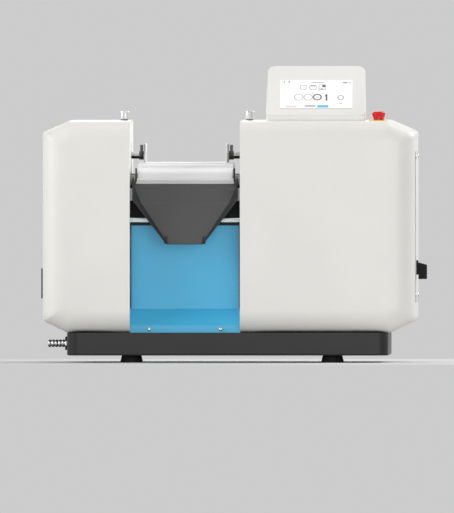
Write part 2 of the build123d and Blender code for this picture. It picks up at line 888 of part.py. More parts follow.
# Gap drives: a stepper against each post, its lead screw running into the bearing block
stepper_starts = {"apron": frame_front_y, "feed": frame_rear_y}
with BuildPart() as gap_motors:
    for name, stepper_y in stepper_starts.items():
        outward = -screw_front[name]
        for side in block_sides:
            face = Plane(origin=(lead_screw_x(side), stepper_y, roller_axes[name][1]), z_dir=(0, outward, 0))
            with BuildSketch(face):
                RectangleRounded(stepper_side, stepper_side, stepper_edge)
            extrude(amount=stepper_length)
            with BuildSketch(face):
                Circle(lead_screw_radius + running_gap)
            extrude(amount=stepper_bore_depth, mode=Mode.SUBTRACT)
finish(gap_motors.part, "gap_motors")


def lead_screw(name, side):
    """One lead screw, from inside its stepper, through the post, into the block."""
    axis_y, axis_z = roller_axes[name]
    inward = screw_front[name]
    start_y = stepper_starts[name] - inward * (stepper_bore_depth - seat_gap)
    end_y = axis_y - inward * (block_width / 2 - lead_screw_insert)
    with BuildPart() as screw:
        with BuildSketch(Plane(origin=(lead_screw_x(side), start_y, axis_z), z_dir=(0, inward, 0))):
            Circle(lead_screw_radius)
        extrude(amount=abs(end_y - start_y))
        chamfer(screw.edges().filter_by(GeomType.CIRCLE), lead_screw_radius * lead_screw_tip_share)
    return screw.part


for name in screw_front:
    for side, word in ((-1, "left"), (1, "right")):
        finish(lead_screw(name, side), name + "_" + word + "_screw")


# Covers: folded shells with a wide rounded front, open to the bay and to the rear
def cover_outline(side, edge_x):
    """Corner points of a cover's front view, ending at the given place on the bay's side."""
    outer_x = left_outer_x if side < 0 else right_outer_x
    return [
        (edge_x, chassis_z),
        (outer_x - side * bottom_chamfer_x, chassis_z),
        (outer_x, chassis_z + bottom_chamfer_z),
        (outer_x, cover_top_z - top_chamfer_z),
        (outer_x - side * top_chamfer_x, cover_top_z),
        (edge_x, cover_top_z),
    ]


def cover_block(side, inset, back_y):
    """A solid with a cover's rounded shape, smaller by the inset on every side but the bay's."""
    bay_x = bay_left_x if side < 0 else bay_right_x
    plane_y = front_y + inset
    with BuildPart() as block:
        with BuildSketch(along_rear(plane_y)):
            with BuildLine():
                Polyline(*cover_outline(side, bay_x - side * inset), close=True)
            make_face()
            if inset > 0:
                offset(amount=-inset, kind=Kind.INTERSECTION)
        extrude(amount=plane_y - back_y)
        front = block.faces().sort_by(Axis.Y)[0]
        rounded = [edge for edge in front.edges() if abs(edge.center().X - bay_x) > cover_sheet]
        fillet(rounded, cover_front_radius - inset)
        ridges = [edge for edge in block.edges().filter_by(Axis.Y) if abs(edge.center().X - bay_x) > cover_sheet]
        fillet(ridges, cover_blend_radius - inset)
    return block.part


def cover_floor_hole(side):
    """Where the base comes up through a cover's floor, inside a narrow flange."""
    base_edge = base_left_x if side < 0 else base_right_x
    skin_edge = left_skin_x if side < 0 else right_skin_x
    start_x = base_edge - side * cover_floor_flange
    return ((start_x + skin_edge) / 2, abs(skin_edge - start_x))


display_x = right_outer_x - display_inset_x
estop_x = right_outer_x - estop_inset_x
left_block = cover_block(-1, 0, rear_y)
left_core = cover_block(-1, cover_sheet, rear_y + overrun)
right_block = cover_block(1, 0, rear_y)
right_core = cover_block(1, cover_sheet, rear_y + overrun)

with BuildPart() as left_cover:
    add(left_block)
    add(left_core, mode=Mode.SUBTRACT)
    hole_x, hole_width = cover_floor_hole(-1)
    with BuildSketch(Plane.XY.offset(chassis_z)):
        with Locations((hole_x, 0)):
            Rectangle(hole_width, cover_depth - 2 * cover_floor_margin)
    extrude(amount=cover_sheet, mode=Mode.SUBTRACT)
    with BuildSketch(Plane.XY.offset(cover_top_z)):
        with Locations((knob_x(-1), knob_y)):
            Circle(knob_stud_radius + seat_gap)
    extrude(amount=-cover_sheet, mode=Mode.SUBTRACT)
    with BuildSketch(across(left_outer_x)):
        with Locations((vent_middle_y, vent_middle_z)):
            Rectangle(vent_width - 2 * vent_rim, vent_height - 2 * vent_rim)
    extrude(amount=cover_sheet, mode=Mode.SUBTRACT)
finish(left_cover.part, "left_cover")

access_screw_places = []
for side_y in (-1, 1):
    for side_z in (-1, 1):
        screw_y = side_y * (access_panel_depth / 2 - access_panel_screw_inset)
        screw_z = access_middle_z + side_z * (access_panel_height / 2 - access_panel_screw_inset)
        access_screw_places.append((screw_y, screw_z))

with BuildPart() as right_cover:
    add(right_block)
    add(right_core, mode=Mode.SUBTRACT)
    hole_x, hole_width = cover_floor_hole(1)
    with BuildSketch(Plane.XY.offset(chassis_z)):
        with Locations((hole_x, 0)):
            Rectangle(hole_width, cover_depth - 2 * cover_floor_margin)
    extrude(amount=cover_sheet, mode=Mode.SUBTRACT)
    with BuildSketch(Plane.XY.offset(cover_top_z)):
        with Locations((knob_x(1), knob_y)):
            Circle(knob_stud_radius + seat_gap)
        with Locations((estop_x, estop_y)):
            Circle(estop_body_radius)
    extrude(amount=-cover_sheet, mode=Mode.SUBTRACT)
    with BuildSketch(across(right_outer_x)):
        with Locations((0, access_middle_z)):
            access_margin = 2 * access_panel_screw_inset
            Rectangle(access_panel_depth - 2 * access_margin, access_panel_height - 2 * access_margin)
        with Locations(*access_screw_places):
            Circle(dome_screw_shank_radius)
    extrude(amount=-cover_sheet, mode=Mode.SUBTRACT)
finish(right_cover.part, "right_cover")


# Skins close the covers towards the bay, with windows for what passes through
def inner_skin(side):
    """The sheet between one cover and the bay."""
    skin_top_z = cover_top_z - cover_sheet
    skin_bottom_z = chassis_z + cover_sheet
    skin_front_y = front_y + cover_sheet
    with BuildPart() as skin:
        with BuildSketch(across(bay_left_x if side < 0 else bay_right_x)):
            with Locations(((skin_front_y + rear_y) / 2, (skin_bottom_z + skin_top_z) / 2)):
                Rectangle(rear_y - skin_front_y, skin_top_z - skin_bottom_z)
        extrude(amount=side * skin_sheet)
        corners = skin.edges().filter_by(Axis.X).group_by(Axis.Y)[0]
        fillet(corners, cover_front_radius - cover_sheet)
        with BuildSketch(across(bay_left_x if side < 0 else bay_right_x)):
            for axis_y, axis_z in roller_axes.values():
                with Locations((axis_y, axis_z)):
                    Circle(bearing_lip_radius)
            with Locations((beam_middle_y, beam_middle_z)):
                Rectangle(beam_depth + 2 * seat_gap, beam_height + 2 * seat_gap)
            with Locations(*tie_bar_places):
                Circle(tie_bar_radius + seat_gap)
            with Locations((dam_y, dam_z)):
                Circle(dam_rod_radius + seat_gap)
        extrude(amount=side * skin_sheet, mode=Mode.SUBTRACT)
    return skin.part


finish(inner_skin(-1), "left_inner_skin")
finish(inner_skin(1), "right_inner_skin")


# Rear panels: sheets set into the covers' rear, with rows of louvre slots
inlet_x = right_outer_x - inlet_inset_x
rear_panel_y = rear_y - rear_panel_recess


def rear_panel(side, core):
    """The sheet that closes one cover's rear."""
    skin_x = left_skin_x if side < 0 else right_skin_x
    outer_x = left_outer_x if side < 0 else right_outer_x
    middle_x = (skin_x + outer_x) / 2
    width = abs(outer_x - skin_x)
    with BuildPart() as panel:
        add(core)
        with BuildSketch(along_rear(rear_panel_y)):
            with Locations((middle_x, chassis_z + cover_height / 2)):
                Rectangle(width, cover_height)
        extrude(amount=rear_panel_sheet, mode=Mode.INTERSECT)
        with BuildSketch(along_rear(rear_panel_y)):
            with Locations((middle_x, chassis_z + louvre_height_share * cover_height)):
                with GridLocations(0, louvre_pitch, 1, louvre_count):
                    SlotOverall(louvre_width_share * width, louvre_height)
            if side > 0:
                with Locations((inlet_x, inlet_z)):
                    Rectangle(inlet_width - 2 * inlet_flange, inlet_height - 2 * inlet_flange)
        extrude(amount=rear_panel_sheet, mode=Mode.SUBTRACT)
    return panel.part


finish(rear_panel(-1, left_core), "left_rear_panel")
finish(rear_panel(1, right_core), "right_rear_panel")

# Mains inlet: a flanged block through the right rear panel, its well holding three blades
with BuildPart() as power_inlet:
    with BuildSketch(along_rear(rear_panel_y + inlet_flange)):
        with Locations((inlet_x, inlet_z)):
            RectangleRounded(inlet_width, inlet_height, inlet_radius)
    extrude(amount=inlet_flange)
    with BuildSketch(along_rear(rear_panel_y)):
        with Locations((inlet_x, inlet_z)):
            Rectangle(inlet_width - 2 * inlet_flange, inlet_height - 2 * inlet_flange)
    extrude(amount=inlet_depth)
    with BuildSketch(along_rear(rear_panel_y + inlet_flange)):
        with Locations((inlet_x, inlet_z)):
            RectangleRounded(inlet_well_width, inlet_well_height, inlet_radius)
    extrude(amount=inlet_well_depth, mode=Mode.SUBTRACT)
    with BuildSketch(along_rear(rear_panel_y + inlet_flange - inlet_well_depth)):
        with Locations(*[(inlet_x + s * inlet_pin_spacing, inlet_z - abs(s) * inlet_pin_drop) for s in (-1, 0, 1)]):
            Rectangle(inlet_pin_width, inlet_pin_height)
    extrude(amount=-inlet_pin_length)
finish(power_inlet.part, "power_inlet")

# Access panel on the right cover's side, bored for its screws and for the switch
with BuildPart() as side_access_panel:
    with BuildSketch(across(right_outer_x)):
        with Locations((0, access_middle_z)):
            RectangleRounded(access_panel_depth, access_panel_height, access_panel_radius)
        with Locations(*access_screw_places):
            Circle(dome_screw_shank_radius, mode=Mode.SUBTRACT)
        with Locations((switch_y, switch_z)):
            Circle(switch_spigot_radius, mode=Mode.SUBTRACT)
    extrude(amount=access_panel_sheet)
finish(side_access_panel.part, "side_access_panel")

# Vent grille on the left cover's side: a frame with a spigot, crossed by slots
with BuildPart() as vent_grille:
    with BuildSketch(across(left_outer_x)):
        with Locations((vent_middle_y, vent_middle_z)):
            RectangleRounded(vent_width, vent_height, access_panel_radius)
    extrude(amount=-vent_reach)
    with BuildSketch(across(left_outer_x)):
        with Locations((vent_middle_y, vent_middle_z)):
            Rectangle(vent_width - 2 * vent_rim, vent_height - 2 * vent_rim)
    extrude(amount=cover_sheet)
    with BuildSketch(across(left_outer_x - vent_reach)):
        with Locations((vent_middle_y, vent_middle_z)):
            vent_pitch = (vent_height - 2 * vent_rim) / vent_slot_count
            with GridLocations(0, vent_pitch, 1, vent_slot_count):
                SlotOverall(vent_width - 2 * vent_rim - 2 * vent_slot_height, vent_slot_height)
    extrude(amount=vent_reach + cover_sheet, mode=Mode.SUBTRACT)
finish(vent_grille.part, "vent_grille")

# Dome screws: two through the splash panel's lip and four at the access panel's corners
lip_screw_z = chassis_z + panel_lip_height / 2
screw_planes = []
for side in (-1, 1):
    lip_screw_x = bay_middle_x + side * panel_screw_spacing / 2
    screw_planes.append(Plane(origin=(lip_screw_x, panel_front_y, lip_screw_z), z_dir=(0, -1, 0)))
for screw_y, screw_z in access_screw_places:
    screw_x = right_outer_x + access_panel_sheet
    screw_planes.append(Plane(origin=(screw_x, screw_y, screw_z), z_dir=(1, 0, 0)))

with BuildPart() as dome_screws:
    with Locations(*screw_planes):
        Cylinder(dome_screw_radius, dome_screw_height, align=(Align.CENTER, Align.CENTER, Align.MIN))
    rims = dome_screws.edges().filter_by(GeomType.CIRCLE).filter_by(
        lambda edge: abs(edge.center().X) > right_outer_x + access_panel_sheet + dome_screw_height / 2
        or edge.center().Y < panel_front_y - dome_screw_height / 2
    )
    fillet(rims, dome_screw_height * dome_round_share)
    with Locations(*screw_planes):
        Cylinder(dome_screw_shank_radius, dome_screw_length, align=(Align.CENTER, Align.CENTER, Align.MAX))
finish(dome_screws.part, "dome_screws")


# Hold-down knobs: a knurled head on a neck, its stud turning in the top of the side frame
def lock_knob(side):
    """One hold-down knob with its stud."""
    seat_z = cover_top_z + seat_gap
    with BuildPart() as knob:
        with BuildSketch(Plane(origin=(knob_x(side), knob_y, seat_z))):
            Circle(knob_neck_radius)
        extrude(amount=knob_neck_height)
        with BuildSketch(Plane(origin=(knob_x(side), knob_y, seat_z + knob_neck_height))):
            Circle(knob_radius)
        extrude(amount=knob_height - knob_neck_height)
        rims = knob.edges().filter_by(GeomType.CIRCLE).filter_by(lambda edge: edge.radius > knob_neck_radius)
        fillet(rims, knob_edge)
        with BuildSketch(Plane(origin=(knob_x(side), knob_y, seat_z))):
            Circle(knob_stud_radius)
        extrude(amount=-(cover_top_z - frame_top_z + knob_stud_engagement))
    return knob.part


finish(lock_knob(-1), "left_lock_knob")
finish(lock_knob(1), "right_lock_knob")

# Scraper blade and chute: both lie on one slope, parked far enough off the apron roller for its carriage to open
slope_angle = radians(chute_pitch)
slope_down = Vector(0, -cos(slope_angle), -sin(slope_angle))
slope_out = Vector(0, -sin(slope_angle), cos(slope_angle))
tip_reach = roller_radius + carriage_travel + blade_clearance
blade_tip_y = apron_y - tip_reach * cos(radians(blade_tip_angle))
blade_tip_z = apron_z + tip_reach * sin(radians(blade_tip_angle))
blade_tip = Vector(bay_middle_x, blade_tip_y, blade_tip_z)
blade_half = roller_length / 2 + blade_side_reach


def slope_point(distance, lift):
    """A point of the slope in the side view, the distance down from the tip and the lift off it."""
    place = blade_tip + slope_down * distance + slope_out * lift
    return (place.Y, place.Z)


with BuildPart() as scraper_blade:
    with BuildSketch(across(bay_middle_x - blade_half)):
        with BuildLine():
            Polyline(
                slope_point(0, 0),
                slope_point(blade_length, 0),
                slope_point(blade_length, blade_thickness),
                slope_point(blade_bevel, blade_thickness),
                close=True,
            )
        make_face()
    extrude(amount=2 * blade_half)
finish(scraper_blade.part, "scraper_blade")


def chute_section(distance, half_width, flare, wall_height):
    """The chute's section across the slope: a floor between two flared walls."""
    outer_half = half_width + chute_sheet
    place = blade_tip + slope_down * distance + slope_out * (blade_thickness + chute_sheet)
    with BuildSketch(Plane(origin=place, x_dir=(1, 0, 0), z_dir=slope_down)) as section:
        with BuildLine():
            Polyline(
                (-half_width, 0),
                (half_width, 0),
                (half_width + flare, wall_height),
                (outer_half + flare, wall_height),
                (outer_half, -chute_sheet),
                (-outer_half, -chute_sheet),
                (-outer_half - flare, wall_height),
                (-half_width - flare, wall_height),
                close=True,
            )
        make_face()
    return section.sketch


shoulder_reach = blade_show + chute_shoulder
shoulder_half = chute_top_half - chute_shoulder_inset
shoulder_flare = chute_wall_flare + chute_shoulder_inset
chute_stations = [
    (blade_show, chute_top_half, chute_wall_flare, chute_wall_height),
    (blade_show + chute_knee, chute_top_half, chute_wall_flare, chute_wall_height),
    (shoulder_reach, shoulder_half, shoulder_flare, chute_wall_height),
    (blade_show + chute_length, chute_bottom_half, chute_end_wall_flare, chute_end_wall_height),
]
chute_sections = [chute_section(*station) for station in chute_stations]
arm_outer_half = chute_top_half + chute_wall_flare + chute_sheet
ear_top_z = apron_z + arm_ear_rise
arm_front_y = blade_tip_y - arm_ear_depth

with BuildPart() as discharge_chute:
    loft(chute_sections, ruled=True)
    for side in (-1, 1):
        with BuildSketch(across(bay_middle_x + side * arm_outer_half)):
            with BuildLine():
                Polyline(
                    (blade_tip_y, ear_top_z),
                    (arm_front_y, ear_top_z),
                    slope_point(shoulder_reach, blade_thickness + chute_sheet + chute_wall_height),
                    slope_point(shoulder_reach, blade_thickness),
                    (pivot_y - arm_crook_reach, pivot_z - arm_crook_drop),
                    (pivot_y, pivot_z - arm_boss_radius),
                    (pivot_y + arm_boss_radius, pivot_z),
                    close=True,
                )
            make_face()
            with Locations((pivot_y, pivot_z)):
                Circle(arm_boss_radius)
                Circle(pivot_pin_radius + running_gap, mode=Mode.SUBTRACT)
        extrude(amount=-side * arm_thickness)
finish(discharge_chute.part, "discharge_chute")

# Pivot pins: each on a plate that stands on the beam beside the bay's wall, headed inside the chute's arm
pin_span = arm_thickness + 2 * seat_gap
with BuildPart() as chute_pivot_pins:
    for side in (-1, 1):
        plate_x = bay_middle_x + side * (arm_outer_half + seat_gap)
        with BuildSketch(across(plate_x)):
            with Locations((pivot_y, beam_top_z + pivot_plate_height / 2)):
                Rectangle(pivot_plate_depth, pivot_plate_height)
        extrude(amount=side * (bay_width / 2 - arm_outer_half - 2 * seat_gap))
        with BuildSketch(across(plate_x)):
            with Locations((pivot_y, pivot_z)):
                Circle(pivot_pin_radius)
        extrude(amount=-side * pin_span)
        with BuildSketch(across(plate_x - side * pin_span)):
            with Locations((pivot_y, pivot_z)):
                Circle(pivot_head_radius)
        extrude(amount=-side * pivot_head_height)
finish(chute_pivot_pins.part, "chute_pivot_pins")


# Feed dams: a rod through the side frame with a clamp boss, and a plate that hangs on its pin
def dam_rod(side):
    """The rod, clamp boss, stem and headed pin of one dam."""
    bay_x = bay_left_x if side < 0 else bay_right_x
    rod_end_x = bay_x - side * dam_rod_reach
    boss_end_x = rod_end_x - side * dam_boss_length
    pin_length = dam_plate_thickness + 2 * seat_gap
    rod_length = abs(outer_face_x(side) + side * dam_rod_tail - rod_end_x)
    with BuildPart() as rod:
        with BuildSketch(across(rod_end_x)):
            with Locations((dam_y, dam_z)):
                Circle(dam_rod_radius)
        extrude(amount=side * rod_length)
        with BuildSketch(across(rod_end_x)):
            with Locations((dam_y, dam_z)):
                Circle(dam_boss_radius)
        extrude(amount=-side * dam_boss_length)
        with BuildSketch(across(boss_end_x)):
            with Locations((dam_y, dam_z)):
                Circle(dam_pin_radius)
        extrude(amount=-side * pin_length)
        with BuildSketch(across(boss_end_x - side * pin_length)):
            with Locations((dam_y, dam_z)):
                Circle(dam_pin_head_radius)
        extrude(amount=-side * dam_pin_head_height)
        with BuildSketch(Plane(origin=((rod_end_x + boss_end_x) / 2, dam_y, dam_z))):
            Circle(dam_stem_radius)
        extrude(amount=dam_stem_height)
    return rod.part


def dam_plate(side):
    """The plate of one dam, cut to both rollers and slotted for its pin."""
    bay_x = bay_left_x if side < 0 else bay_right_x
    plate_x = bay_x - side * (dam_rod_reach + dam_boss_length + seat_gap)
    slot_width = 2 * (dam_pin_radius + screw_gap)
    with BuildPart() as plate:
        with BuildSketch(across(plate_x)):
            with BuildLine():
                Polyline(
                    (dam_y - dam_plate_front_reach, dam_plate_bottom_z),
                    (dam_y + dam_plate_rear_reach, dam_plate_bottom_z),
                    (dam_y + dam_plate_rear_reach, dam_plate_top_z),
                    (dam_y - dam_plate_front_reach, dam_plate_top_z),
                    close=True,
                )
            make_face()
            for name in ("centre", "feed"):
                with Locations(roller_axes[name]):
                    Circle(roller_radius + dam_roller_gap, mode=Mode.SUBTRACT)
            with Locations((dam_y, dam_z - dam_slot_length / 2)):
                SlotCenterToCenter(dam_slot_length, slot_width, rotation=90, mode=Mode.SUBTRACT)
        extrude(amount=-side * dam_plate_thickness)
        top_corners = plate.edges().filter_by(Axis.X).group_by(Axis.Z)[-1]
        fillet(top_corners, dam_plate_corner)
    return plate.part


for side, word in ((-1, "left"), (1, "right")):
    finish(dam_rod(side), word + "_dam_rod")
    finish(dam_plate(side), word + "_dam_plate")

# Touch display: a slab leaning back on a hinge along its round lower edge
display_half = display_thickness / 2
hinge_z = cover_top_z + display_half + display_hinge_lift
lean = radians(display_tilt)
display_up = Vector(0, sin(lean), cos(lean))
display_out = Vector(0, -cos(lean), sin(lean))
hinge_point = Vector(display_x, display_y, hinge_z)
display_top = display_reach - display_half
knuckle_xs = [display_x + s * display_knuckle_spacing / 2 for s in (-1, 1)]


def display_plane(out):
    """A plane facing out of the display, off its middle by the given distance; its y runs up the slab."""
    return Plane(origin=hinge_point + display_out * out, x_dir=(1, 0, 0), z_dir=display_out)


def display_side_plane(x):
    """A plane that looks along +X; its x runs up the slab and its y out of it."""
    return Plane(origin=(x, display_y, hinge_z), x_dir=display_up, z_dir=(1, 0, 0))


with BuildPart() as display_housing:
    with BuildSketch(display_plane(-display_half)):
        with BuildLine():
            Polyline(
                (-display_width_bottom / 2, -display_half),
                (display_width_bottom / 2, -display_half),
                (display_width_top / 2, display_top),
                (-display_width_top / 2, display_top),
                close=True,
            )
        make_face()
        corners = vertices()
        fillet(corners, display_corner_radius)
    extrude(amount=display_thickness)
    with BuildSketch(display_side_plane(display_x - display_width_bottom / 2)):
        with Locations(((display_top - display_half) / 2, 0)):
            Rectangle(display_reach, display_thickness)
        ends = vertices().sort_by(Axis((display_x, display_y, hinge_z), display_up))
        fillet(ends[:2], display_half * display_round_share)
        fillet(ends[2:], display_edge_radius)
    extrude(amount=display_width_bottom, mode=Mode.INTERSECT)
    with BuildSketch(display_plane(display_half)):
        with Locations((0, screen_middle_reach)):
            RectangleRounded(screen_width, screen_height, screen_radius)
    extrude(amount=-screen_glass, mode=Mode.SUBTRACT)
    notch_width = display_knuckle_width + 2 * display_knuckle_gap
    notch_radius = display_knuckle_radius + display_knuckle_gap
    notch_bottom = -display_half - overrun
    for knuckle_x in knuckle_xs:
        with BuildSketch(display_side_plane(knuckle_x - notch_width / 2)):
            Circle(notch_radius)
            with Locations(((notch_radius + notch_bottom) / 2, (display_notch_front + notch_bottom) / 2)):
                Rectangle(notch_radius - notch_bottom, display_notch_front - notch_bottom)
        extrude(amount=notch_width, mode=Mode.SUBTRACT)
        bore_reach = display_knuckle_width / 2 + display_pin_reach + seat_gap
        with BuildSketch(display_side_plane(knuckle_x - bore_reach)):
            Circle(display_pin_radius + running_gap)
        extrude(amount=2 * bore_reach, mode=Mode.SUBTRACT)
finish(display_housing.part, "display_housing")

with BuildPart() as display_screen:
    with BuildSketch(display_plane(display_half)):
        with Locations((0, screen_middle_reach)):
            RectangleRounded(screen_width, screen_height, screen_radius)
    extrude(amount=-screen_glass)
finish(display_screen.part, "display_screen")

with BuildPart() as display_bracket:
    for knuckle_x in knuckle_xs:
        with BuildSketch(Plane(origin=(knuckle_x, display_y, cover_top_z))):
            Rectangle(display_knuckle_width, display_foot_depth)
        extrude(amount=display_foot_sheet)
        with BuildSketch(across(knuckle_x - display_knuckle_width / 2)):
            with Locations((display_y, hinge_z)):
                Circle(display_knuckle_radius)
            with Locations((display_y, (cover_top_z + hinge_z) / 2)):
                Rectangle(display_leg_depth, hinge_z - cover_top_z)
        extrude(amount=display_knuckle_width)
        pin_reach = display_knuckle_width / 2 + display_pin_reach
        with BuildSketch(across(knuckle_x - pin_reach)):
            with Locations((display_y, hinge_z)):
                Circle(display_pin_radius)
        extrude(amount=2 * pin_reach)
finish(display_bracket.part, "display_bracket")

# Stop button: a ring and body through the cover, a pushed stem and a head that twists on it
with BuildPart() as estop_ring:
    with BuildSketch(Plane(origin=(estop_x, estop_y, cover_top_z))):
        Circle(estop_ring_radius)
    extrude(amount=estop_ring_height)
    with BuildSketch(Plane(origin=(estop_x, estop_y, cover_top_z))):
        Circle(estop_body_radius)
    extrude(amount=-estop_body_length)
    with BuildSketch(Plane(origin=(estop_x, estop_y, cover_top_z + estop_ring_height))):
        Circle(estop_stem_radius + running_gap)
    extrude(amount=-(estop_ring_height + estop_stem_tail + estop_travel + overrun), mode=Mode.SUBTRACT)
finish(estop_ring.part, "estop_ring")

estop_stem_top_z = cover_top_z + estop_stem_reach
with BuildPart() as estop_stem:
    with BuildSketch(Plane(origin=(estop_x, estop_y, cover_top_z - estop_stem_tail))):
        Circle(estop_stem_radius)
    extrude(amount=estop_stem_tail + estop_stem_reach)
    with BuildSketch(Plane(origin=(estop_x, estop_y, estop_stem_top_z))):
        Circle(estop_post_radius)
    extrude(amount=estop_post_height)
finish(estop_stem.part, "estop_stem")

head_bottom_z = cover_top_z + estop_ring_height + estop_travel + seat_gap
head_top_z = cover_top_z + estop_head_height
head_brim_z = head_bottom_z + (head_top_z - head_bottom_z) * estop_skirt_share
head_rim_z = head_bottom_z + (head_top_z - head_bottom_z) * estop_brim_share
with BuildPart() as estop_head:
    with BuildSketch(Plane(origin=(estop_x, estop_y, head_bottom_z))):
        Circle(estop_head_neck_radius)
    extrude(amount=head_rim_z - head_bottom_z)
    with Locations((estop_x, estop_y, head_brim_z)):
        Cone(
            estop_head_neck_radius,
            estop_head_radius,
            head_rim_z - head_brim_z,
            align=(Align.CENTER, Align.CENTER, Align.MIN),
        )
    with BuildSketch(Plane(origin=(estop_x, estop_y, head_rim_z))):
        Circle(estop_head_radius)
    extrude(amount=head_top_z - head_rim_z)
    fillet(estop_head.edges().group_by(Axis.Z)[-1], (head_top_z - head_rim_z) * estop_dome_share)
    with BuildSketch(Plane(origin=(estop_x, estop_y, head_bottom_z))):
        Circle(estop_stem_radius + running_gap)
    extrude(amount=estop_stem_top_z + seat_gap - head_bottom_z, mode=Mode.SUBTRACT)
    with BuildSketch(Plane(origin=(estop_x, estop_y, estop_stem_top_z))):
        Circle(estop_post_radius + running_gap)
    extrude(amount=estop_post_height + seat_gap, mode=Mode.SUBTRACT)
finish(estop_head.part, "estop_head")

# Mains switch: a square flange with a spigot through the access panel, and a turning lever
flange_x = right_outer_x + access_panel_sheet
with BuildPart() as switch_plate:
    with BuildSketch(across(flange_x)):
        with Locations((switch_y, switch_z)):
            RectangleRounded(switch_flange_size, switch_flange_size, switch_flange_radius)
    extrude(amount=switch_flange_thickness)
    with BuildSketch(across(flange_x)):
        with Locations((switch_y, switch_z)):
            Circle(switch_spigot_radius)
    extrude(amount=-switch_spigot_length)
    with BuildSketch(across(flange_x + switch_flange_thickness)):
        with Locations((switch_y, switch_z)):
            Circle(switch_spindle_radius + running_gap)
    extrude(amount=-(switch_flange_thickness + switch_spigot_length), mode=Mode.SUBTRACT)
finish(switch_plate.part, "switch_plate")

lever_x = flange_x + switch_flange_thickness + seat_gap
lever_end_x = right_outer_x + switch_reach
with BuildPart() as switch_lever:
    with BuildSketch(along_rear(switch_y + switch_lever_width / 2)):
        with BuildLine():
            Polyline(
                (lever_x, switch_z - switch_lever_down),
                (lever_end_x, switch_z - switch_lever_down),
                (lever_end_x, switch_z + switch_lever_up - switch_lever_slope),
                (lever_x, switch_z + switch_lever_up),
                close=True,
            )
        make_face()
    extrude(amount=switch_lever_width)
    fillet(switch_lever.edges().group_by(Axis.X)[-1], switch_lever_edge)
    with BuildSketch(across(lever_x)):
        with Locations((switch_y, switch_z)):
            Circle(switch_spindle_radius)
    extrude(amount=-switch_spindle_length)
finish(switch_lever.part, "switch_lever")

# Hose tails: barbed, bored through, each with a hexagon against the base and a shank in its wall
barb_pitch = hose_tail_length / hose_barb_count
hose_face_x = base_left_x - hose_nut_thickness
with BuildPart() as hose_tails:
    for hose_y in hose_ys:
        with BuildSketch(across(base_left_x)):
            with Locations((hose_y, hose_z)):
                RegularPolygon(hose_nut_radius, hose_nut_sides, rotation=90)
        extrude(amount=-hose_nut_thickness)
        with BuildSketch(across(base_left_x)):
            with Locations((hose_y, hose_z)):
                Circle(hose_shank_radius)
        extrude(amount=pan_wall)
        with BuildSketch(Plane(origin=(0, hose_y, hose_z), x_dir=(1, 0, 0), z_dir=(0, -1, 0))):
            with BuildLine():
                outline = [(hose_face_x, 0)]
                for barb in range(hose_barb_count):
                    outline.append((hose_face_x - barb * barb_pitch, hose_barb_radius))
                    outline.append((hose_face_x - (barb + 1) * barb_pitch, hose_core_radius))
                outline.append((hose_face_x - hose_tail_length, 0))
                Polyline(*outline, close=True)
            make_face()
        revolve(axis=Axis((0, hose_y, hose_z), (1, 0, 0)))
        with BuildSketch(across(hose_face_x - hose_tail_length)):
            with Locations((hose_y, hose_z)):
                Circle(hose_bore_radius)
        extrude(amount=hose_tail_length + hose_nut_thickness + pan_wall, mode=Mode.SUBTRACT)
finish(hose_tails.part, "hose_tails")

# Inverter: a drive unit that stands on the chassis plate, with cooling fins along its front
inverter_x = base_right_x - inverter_inset_x - inverter_width / 2
inverter_y = inverter_front_y + inverter_depth / 2
with BuildPart() as inverter_unit:
    with BuildSketch(Plane(origin=(inverter_x, inverter_y, chassis_z))):
        Rectangle(inverter_width, inverter_depth)
    extrude(amount=inverter_height)
    fin_pitch = inverter_width / inverter_fin_count
    with BuildSketch(Plane(origin=(inverter_x, inverter_y - inverter_depth / 2, chassis_z))):
        with Locations((0, inverter_fin_height / 2)):
            with GridLocations(fin_pitch, 0, inverter_fin_count - 1, 1):
                Rectangle(fin_pitch / 2, inverter_fin_height)
    extrude(amount=inverter_height, mode=Mode.SUBTRACT)
finish(inverter_unit.part, "inverter_unit")
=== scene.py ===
# %% [markdown]
# # Dressing a benchtop three-roll mill
# The mill grinds paste between three rollers. Two painted covers stand on a dark cast base, and the rollers,
# a scraper blade and a chute sit in the bay between them.
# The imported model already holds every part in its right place, in metres. This file gives each part its
# finish, and makes the small repeated things, such as screws, knobs, ribs and slats, with Geometry Nodes.

# %% Load the mill
from math import cos, pi, radians, sin, sqrt

import bmesh
import bpy
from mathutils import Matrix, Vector


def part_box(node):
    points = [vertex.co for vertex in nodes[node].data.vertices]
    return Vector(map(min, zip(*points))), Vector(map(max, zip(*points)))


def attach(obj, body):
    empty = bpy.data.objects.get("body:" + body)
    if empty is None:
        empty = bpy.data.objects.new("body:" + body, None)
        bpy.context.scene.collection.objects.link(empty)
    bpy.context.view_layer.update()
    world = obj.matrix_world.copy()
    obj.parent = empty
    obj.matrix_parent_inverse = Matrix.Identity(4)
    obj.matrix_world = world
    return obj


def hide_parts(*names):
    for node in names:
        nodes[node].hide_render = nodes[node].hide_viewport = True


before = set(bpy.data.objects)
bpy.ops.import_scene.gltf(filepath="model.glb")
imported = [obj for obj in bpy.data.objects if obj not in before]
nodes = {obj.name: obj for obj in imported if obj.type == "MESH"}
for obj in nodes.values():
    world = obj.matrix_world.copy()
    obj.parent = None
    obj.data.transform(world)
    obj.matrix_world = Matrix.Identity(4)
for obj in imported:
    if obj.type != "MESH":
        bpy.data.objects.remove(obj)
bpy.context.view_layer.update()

# %% [markdown]
# ## Where the parts are
# Every new piece is placed from a part that carries it, so the boxes of those parts are read once and kept
# under short names. A named millimetre turns lengths into metres, because the sizes of screws and knobs are
# easier to read in millimetres.

# %% Places
mm, micron = 0.001, 0.000001


def middle(name):
    low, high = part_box(name)
    return (low + high) / 2


